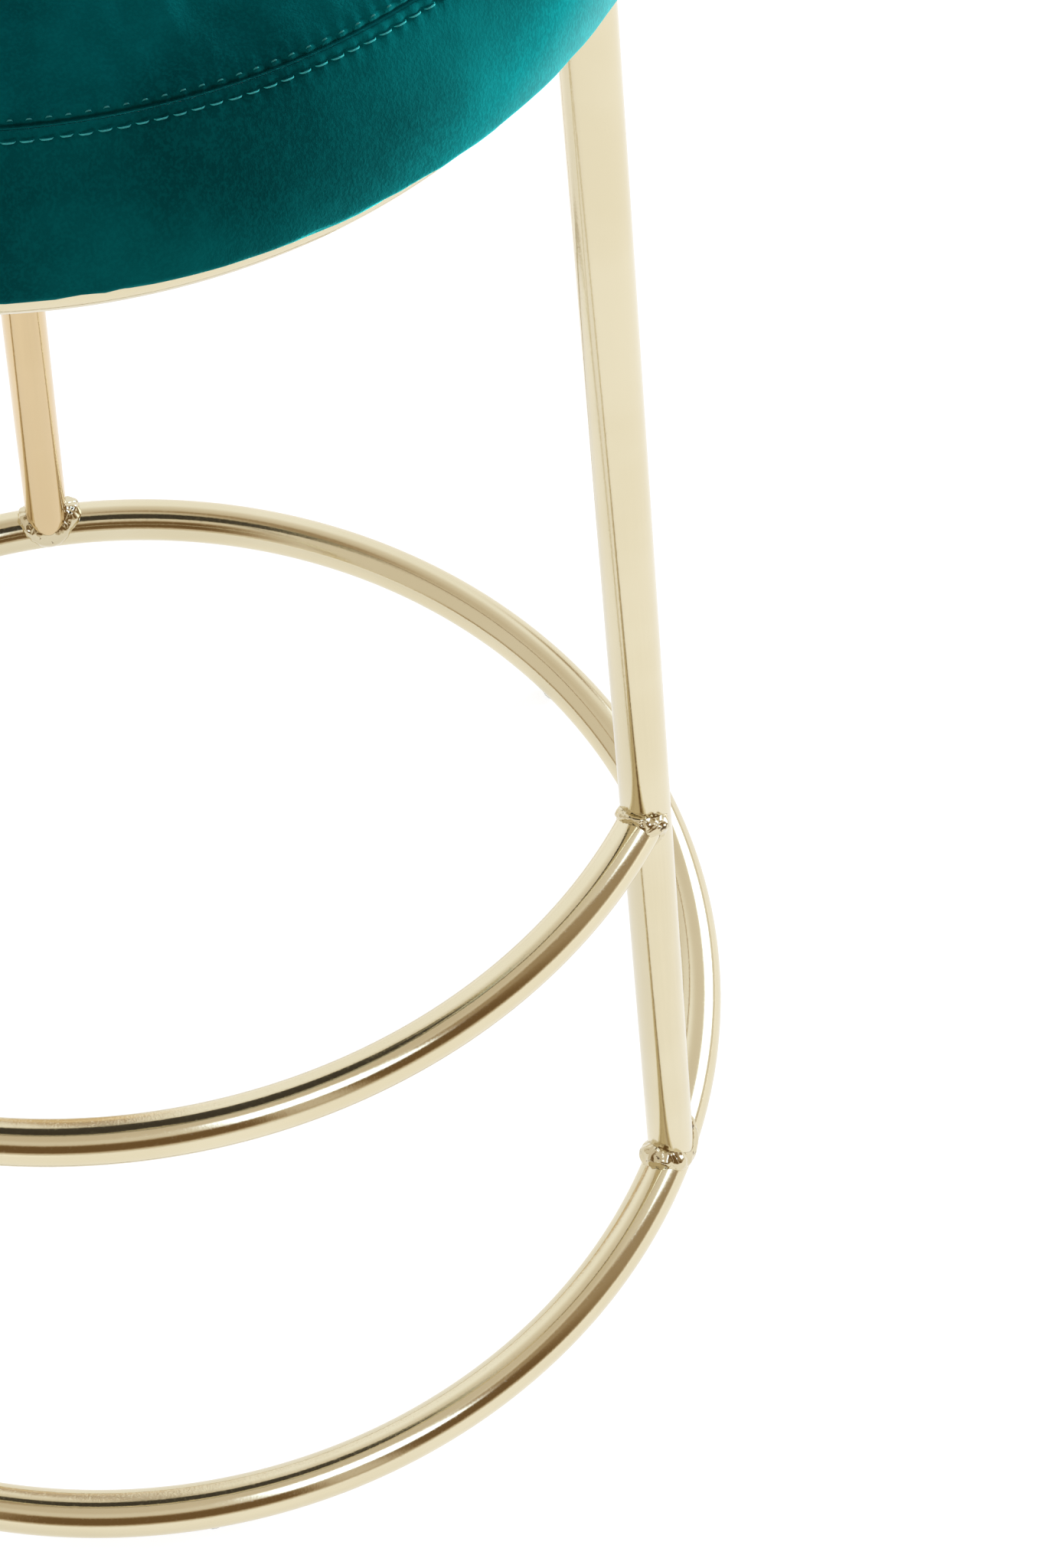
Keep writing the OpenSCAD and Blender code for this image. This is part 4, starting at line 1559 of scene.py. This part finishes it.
@dataclass
class SmallParts:
    """Glides, dust cover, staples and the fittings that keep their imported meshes."""

    frame: Frame
    finishes: dict[str, Material]
    staple_w: float = 0.011
    staple_l: float = 0.008
    wire_w: float = 0.001
    wire_t: float = 0.0007
    wire_bend: float = 0.0008
    cover_staples: int = 24
    cover_staple_r: float = 0.1427
    dust_staples: int = 12
    dust_staple_in: float = 0.003
    staple_pucker: float = 0.00010
    loose_pucker: float = 0.00006
    upper_share: float = 0.4
    cloth_in: float = 0.00008
    glide_flat: float = 0.0025
    glide_r: float = 0.005
    glide_dome: float = 0.0022

    def build(self) -> None:
        """Builds and dresses the small parts."""
        self.glides()
        self.dust_cover()
        dust_r = reach("dust_cover") - self.dust_staple_in
        for part, radius, count, seed in (
            ("cover_staple", self.cover_staple_r, self.cover_staples, 5),
            ("dust_staple", dust_r, self.dust_staples, 6),
        ):
            self.staples(f"{part}_wires", f"{part}s", radius, count, seed)
        for node, finish in (
            ("seat_lugs", "gold"),
            ("lug_welds", "weld"),
            ("seat_board", "plywood"),
            ("t_nuts", "zinc"),
            ("screw_washers", "zinc"),
            ("seat_screws", "black"),
        ):
            mesh = frame["nodes"][node].data
            mesh.materials.clear()
            mesh.materials.append(self.finishes[finish])
            log.info("%s: packed mesh, %s", node, finish)

    def glides(self) -> None:
        """Three domed glides that meet the ring's underside."""
        f = self.frame
        turn = np.linspace(0, math.pi / 2, 12)
        dome = self.glide_flat + (self.glide_r - self.glide_flat) * np.sin(turn)
        r = np.concatenate([dome, [self.glide_r]])
        z = np.concatenate([self.glide_dome * (1 - np.cos(turn)), [0.0]])
        mesher = Mesher()
        for between in BETWEEN_LEGS:
            rows = revolved(r[:, None], z[:, None], circle(48))
            seat = np.sqrt((f.tube_r + f.root_gap) ** 2 - rows[-1, :, 0] ** 2)
            rows[-1, :, 2] = f.ring_z - seat
            rows[..., 0] += f.ring_r
            mesher.rod(moved(rows, turned(between)), flip=True)
        piece = mesher.build("floor_glide_domes", self.finishes["glide"], 35)
        settle(piece, Slot.GLIDE, "floor_glides")

    def dust_cover(self) -> None:
        """A thin cloth disc, puckered at its staples."""
        low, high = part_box("dust_cover")
        radius = high.x
        r = np.linspace(0.002, radius, 46)[:, None]
        turn = circle(288)[None]
        at_staples = self.staple_pucker * np.cos(turn * self.dust_staples + math.pi)
        loose = self.loose_pucker * np.sin(turn * 67 + 2 * np.sin(turn * 5))
        pucker = (r / radius) ** 3 * (at_staples + loose)
        lower = revolved(r, low.z + 2 * self.cloth_in + pucker, turn)
        upper = revolved(r, high.z - self.cloth_in + pucker * self.upper_share, turn)
        mesher = Mesher()
        under = mesher.grid(lower[:, ::-1])
        over = mesher.grid(upper)
        mesher.cap(under[0])
        mesher.cap(over[0])
        mesher.bridge(over[-1], under[-1][::-1])
        cloth = mesher.build("dust_cover_cloth", self.finishes["dust"], 60)
        piece = settle(cloth, Slot.DUST, "dust_cover")

    def staples(self, name: str, node: str, radius: float, count: int, seed: int) -> None:
        """A ring of bent wire staples.

        Args:
            name: The piece's name.
            node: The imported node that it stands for.
            radius: Radius of the ring of staples.
            count: Number of staples.
            seed: Seed of their small tilts.
        """
        draw = random.Random(seed)
        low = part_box(node)[0].z
        half, bend = self.staple_w / 2 - self.wire_w / 2, self.wire_bend
        corner = [(bend * (1 - math.cos(a)) - half, bend * (1 - math.sin(a))) for a in (0.5, 1.05)]
        left = [(-half, self.staple_l), (-half, bend), *corner, (bend - half, 0), (-half / 2, 0)]
        path = np.array(left + [(-x, y) for x, y in reversed(left)])
        way = unit(np.concatenate([path[1:], path[-1:]]) - np.concatenate([path[:1], path[:-1]]))
        rim = circle(8) + TAU / 16
        flat, thick = self.wire_w / 2 * np.cos(rim), self.wire_t / 2 * np.sin(rim)
        along = path[:, :1] - way[:, 1:] * thick
        height = low + path[:, 1:] + way[:, :1] * thick + self.wire_t / 2
        mesher = Mesher()
        for number in range(count):
            place = (number + 0.5) * TAU / count
            tilt = draw.uniform(-0.10, 0.10)
            out = radius + flat * math.cos(tilt) - along * math.sin(tilt)
            side = along * math.cos(tilt) + flat * math.sin(tilt)
            x = out * math.cos(place) - side * math.sin(place)
            y = out * math.sin(place) + side * math.cos(place)
            mesher.rod(np.stack([x, y, height], axis=-1))
        settle(mesher.build(name, self.finishes["wire"], 60), Slot.STAPLE, node)


# Studio


@dataclass(frozen=True)
class Lamp:
    """A soft rectangular lamp."""

    name: str
    place: Triple
    size: Span
    power: float
    aim: Triple

    def build(self) -> None:
        """Makes the lamp, which lights but isn't mirrored in the plating."""
        data = bpy.data.lights.new(self.name, "AREA")
        data.shape = "RECTANGLE"
        data.size, data.size_y = self.size
        data.energy = self.power
        lamp = bpy.data.objects.new(self.name, data)
        bpy.context.scene.collection.objects.link(lamp)
        lamp.location = self.place
        lamp.rotation_mode = "QUATERNION"
        ahead = Vector(self.aim) - Vector(self.place)
        lamp.rotation_quaternion = ahead.to_track_quat("-Z", "Y")
        lamp.visible_glossy = False
        lamp.visible_camera = False


@dataclass(frozen=True)
class Panel:
    """A soft-edged patch of the room that the plating mirrors.

    It is placed by direction, in degrees: its azimuth from the far side towards the right, its
    half width, and the heights of its lower and upper edges.
    """

    name: str
    azimuth: float
    half_width: float
    low: float
    high: float
    level: float
    wide_soft: float = 8.0
    tall_soft: float = 7.0

    def mask(self, t: Tree, azimuth: Socket, height: Socket) -> Socket:
        """Where the panel stands.

        Args:
            t: The world's tree.
            azimuth: The azimuth looked at.
            height: The height looked at.

        Returns:
            One inside the panel and nought outside it.
        """
        wide, tall = self.wide_soft / 2, self.tall_soft / 2
        off = t.math("WRAP", t.math("SUBTRACT", azimuth, self.azimuth), 180.0, -180.0)
        off = t.math("ABSOLUTE", off)
        across = t.span(off, self.half_width + wide, self.half_width - wide)
        above = t.span(height, self.low - tall, self.low + tall)
        below = t.span(height, self.high + tall, self.high - tall)
        return t.math("MULTIPLY", across, t.math("MULTIPLY", above, below))


@dataclass
class Studio:
    """The pale floor, the room that the plating mirrors, the lamps and the camera."""

    finishes: dict[str, Material]
    wall: float = 0.80
    green_power: float = 1.30
    blue_power: float = 1.78
    floor_reach: float = 12.0
    floor_drop: float = 0.0002
    panels: tuple[Panel, ...] = (
        Panel("ceiling", 0, 180, 64, 100, 0.70, tall_soft=10),
        Panel("dark_ceiling_strip", -45, 45, 73, 82, 0.38),
        Panel("far_backdrop", -5, 42, -90, 46, 1.06, wide_soft=30, tall_soft=26),
        Panel("dim_right_wall", 110, 20, 4, 60, 0.40, wide_soft=14),
        Panel("dark_camera_side", 166, 48, 7, 45, 0.18, wide_soft=22, tall_soft=12),
        Panel("left_horizon", -96, 20, -10, 6, 0.42, wide_soft=12),
        Panel("lamp_stand", 36, 5, 12, 25, 0.45),
        Panel("far_right_softbox", 64, 25, 13, 49, 1.9),
        Panel("near_right_softbox", 150, 18, 43, 69, 1.9),
        Panel("near_right_strip", 157, 6, 8, 44, 0.68),
    )
    lamps: tuple[Lamp, ...] = (
        Lamp("lamp_right", (8.7, 2.3, 0.72), (3.4, 0.8), 3500.0, (0.0, 0.0, 0.62)),
        Lamp("lamp_front", (-1.3, -2.5, 0.12), (1.5, 0.6), 44.0, (0.0, 0.0, 0.62)),
        Lamp("lamp_top", (-0.3, -0.2, 2.6), (1.6, 1.6), 10.0, (0.0, 0.0, 0.5)),
    )
    eye: Triple = (-0.03598, -0.8059, 1.3492)
    yaw: float = 0.2211
    pitch: float = -0.9865
    roll: float = 0.0339
    lens: float = 98.70

    def build(self) -> None:
        """Builds the whole studio."""
        self.world()
        self.floor()
        for lamp in self.lamps:
            lamp.build()
        self.camera()
        bpy.context.scene.view_settings.view_transform = "Standard"

    def world(self) -> None:
        """The room's walls and panels, warmer where they are darker. The camera sees white."""
        world = bpy.data.worlds.new("studio_room")
        bpy.context.scene.world = world
        world.use_nodes = True
        t = Tree(world.node_tree)
        point = t.add("ShaderNodeTexCoord").outputs["Generated"]
        way = t.add("ShaderNodeSeparateXYZ", {0: point}).outputs
        azimuth = t.math("DEGREES", t.math("ARCTAN2", way[0], way[1]))
        height = t.math("DEGREES", t.math("ARCSINE", way[2]))
        level: Any = self.wall
        for panel in self.panels:
            inputs = {0: panel.mask(t, azimuth, height), 2: level, 3: panel.level}
            level = t.first("ShaderNodeMix", inputs, data_type="FLOAT")
            log.info("%s: level %.2f", panel.name, panel.level)
        green = t.math("POWER", level, self.green_power)
        blue = t.math("POWER", level, self.blue_power)
        room = t.first("ShaderNodeCombineColor", {0: level, 1: green, 2: blue})
        colour = t.mix(t.seen(), room, (1.0, 1.0, 1.0, 1.0))
        t.feed(world.node_tree.nodes["Background"].inputs["Color"], colour)

    def floor(self) -> None:
        """A wide square of floor, just under the stool."""
        far = self.floor_reach
        corners = [[[-far, -far, 0], [far, -far, 0]], [[-far, far, 0], [far, far, 0]]]
        mesher = Mesher()
        mesher.grid(np.array(corners), open_row=True)
        piece = mesher.build("pale_floor", self.finishes["floor"], closed=False)
        piece.location.z = -self.floor_drop

    def camera(self) -> None:
        """The camera fitted to the photograph."""
        cy, sy, level = math.cos(self.yaw), math.sin(self.yaw), math.cos(self.pitch)
        ahead = Vector((sy * level, cy * level, math.sin(self.pitch)))
        right = Vector((cy, -sy, 0))
        up = right.cross(ahead)
        cr, sr = math.cos(self.roll), math.sin(self.roll)
        axes = (cr * right + sr * up, -sr * right + cr * up, -ahead)
        data = bpy.data.cameras.new("photo_camera")
        data.sensor_fit = "AUTO"
        data.sensor_width = 36.0
        data.lens = self.lens
        camera = bpy.data.objects.new("photo_camera", data)
        bpy.context.scene.collection.objects.link(camera)
        camera.matrix_world = Matrix(axes).transposed().to_4x4()
        camera.location = self.eye
        bpy.context.scene.camera = camera


def main() -> None:
    """Builds the stool's pieces, its small parts and the studio."""
    logging.basicConfig(level=logging.INFO, format="%(name)s %(message)s")
    measures = Frame()
    effects = Effects()
    finishes = {part: finish.build(effects) for part, finish in FINISHES.items()}
    Studio(finishes).build()
    TubeFrame(measures, finishes).build()
    SeatPad(finishes).build()
    SmallParts(measures, finishes).build()


if __name__ == "__main__":
    main()
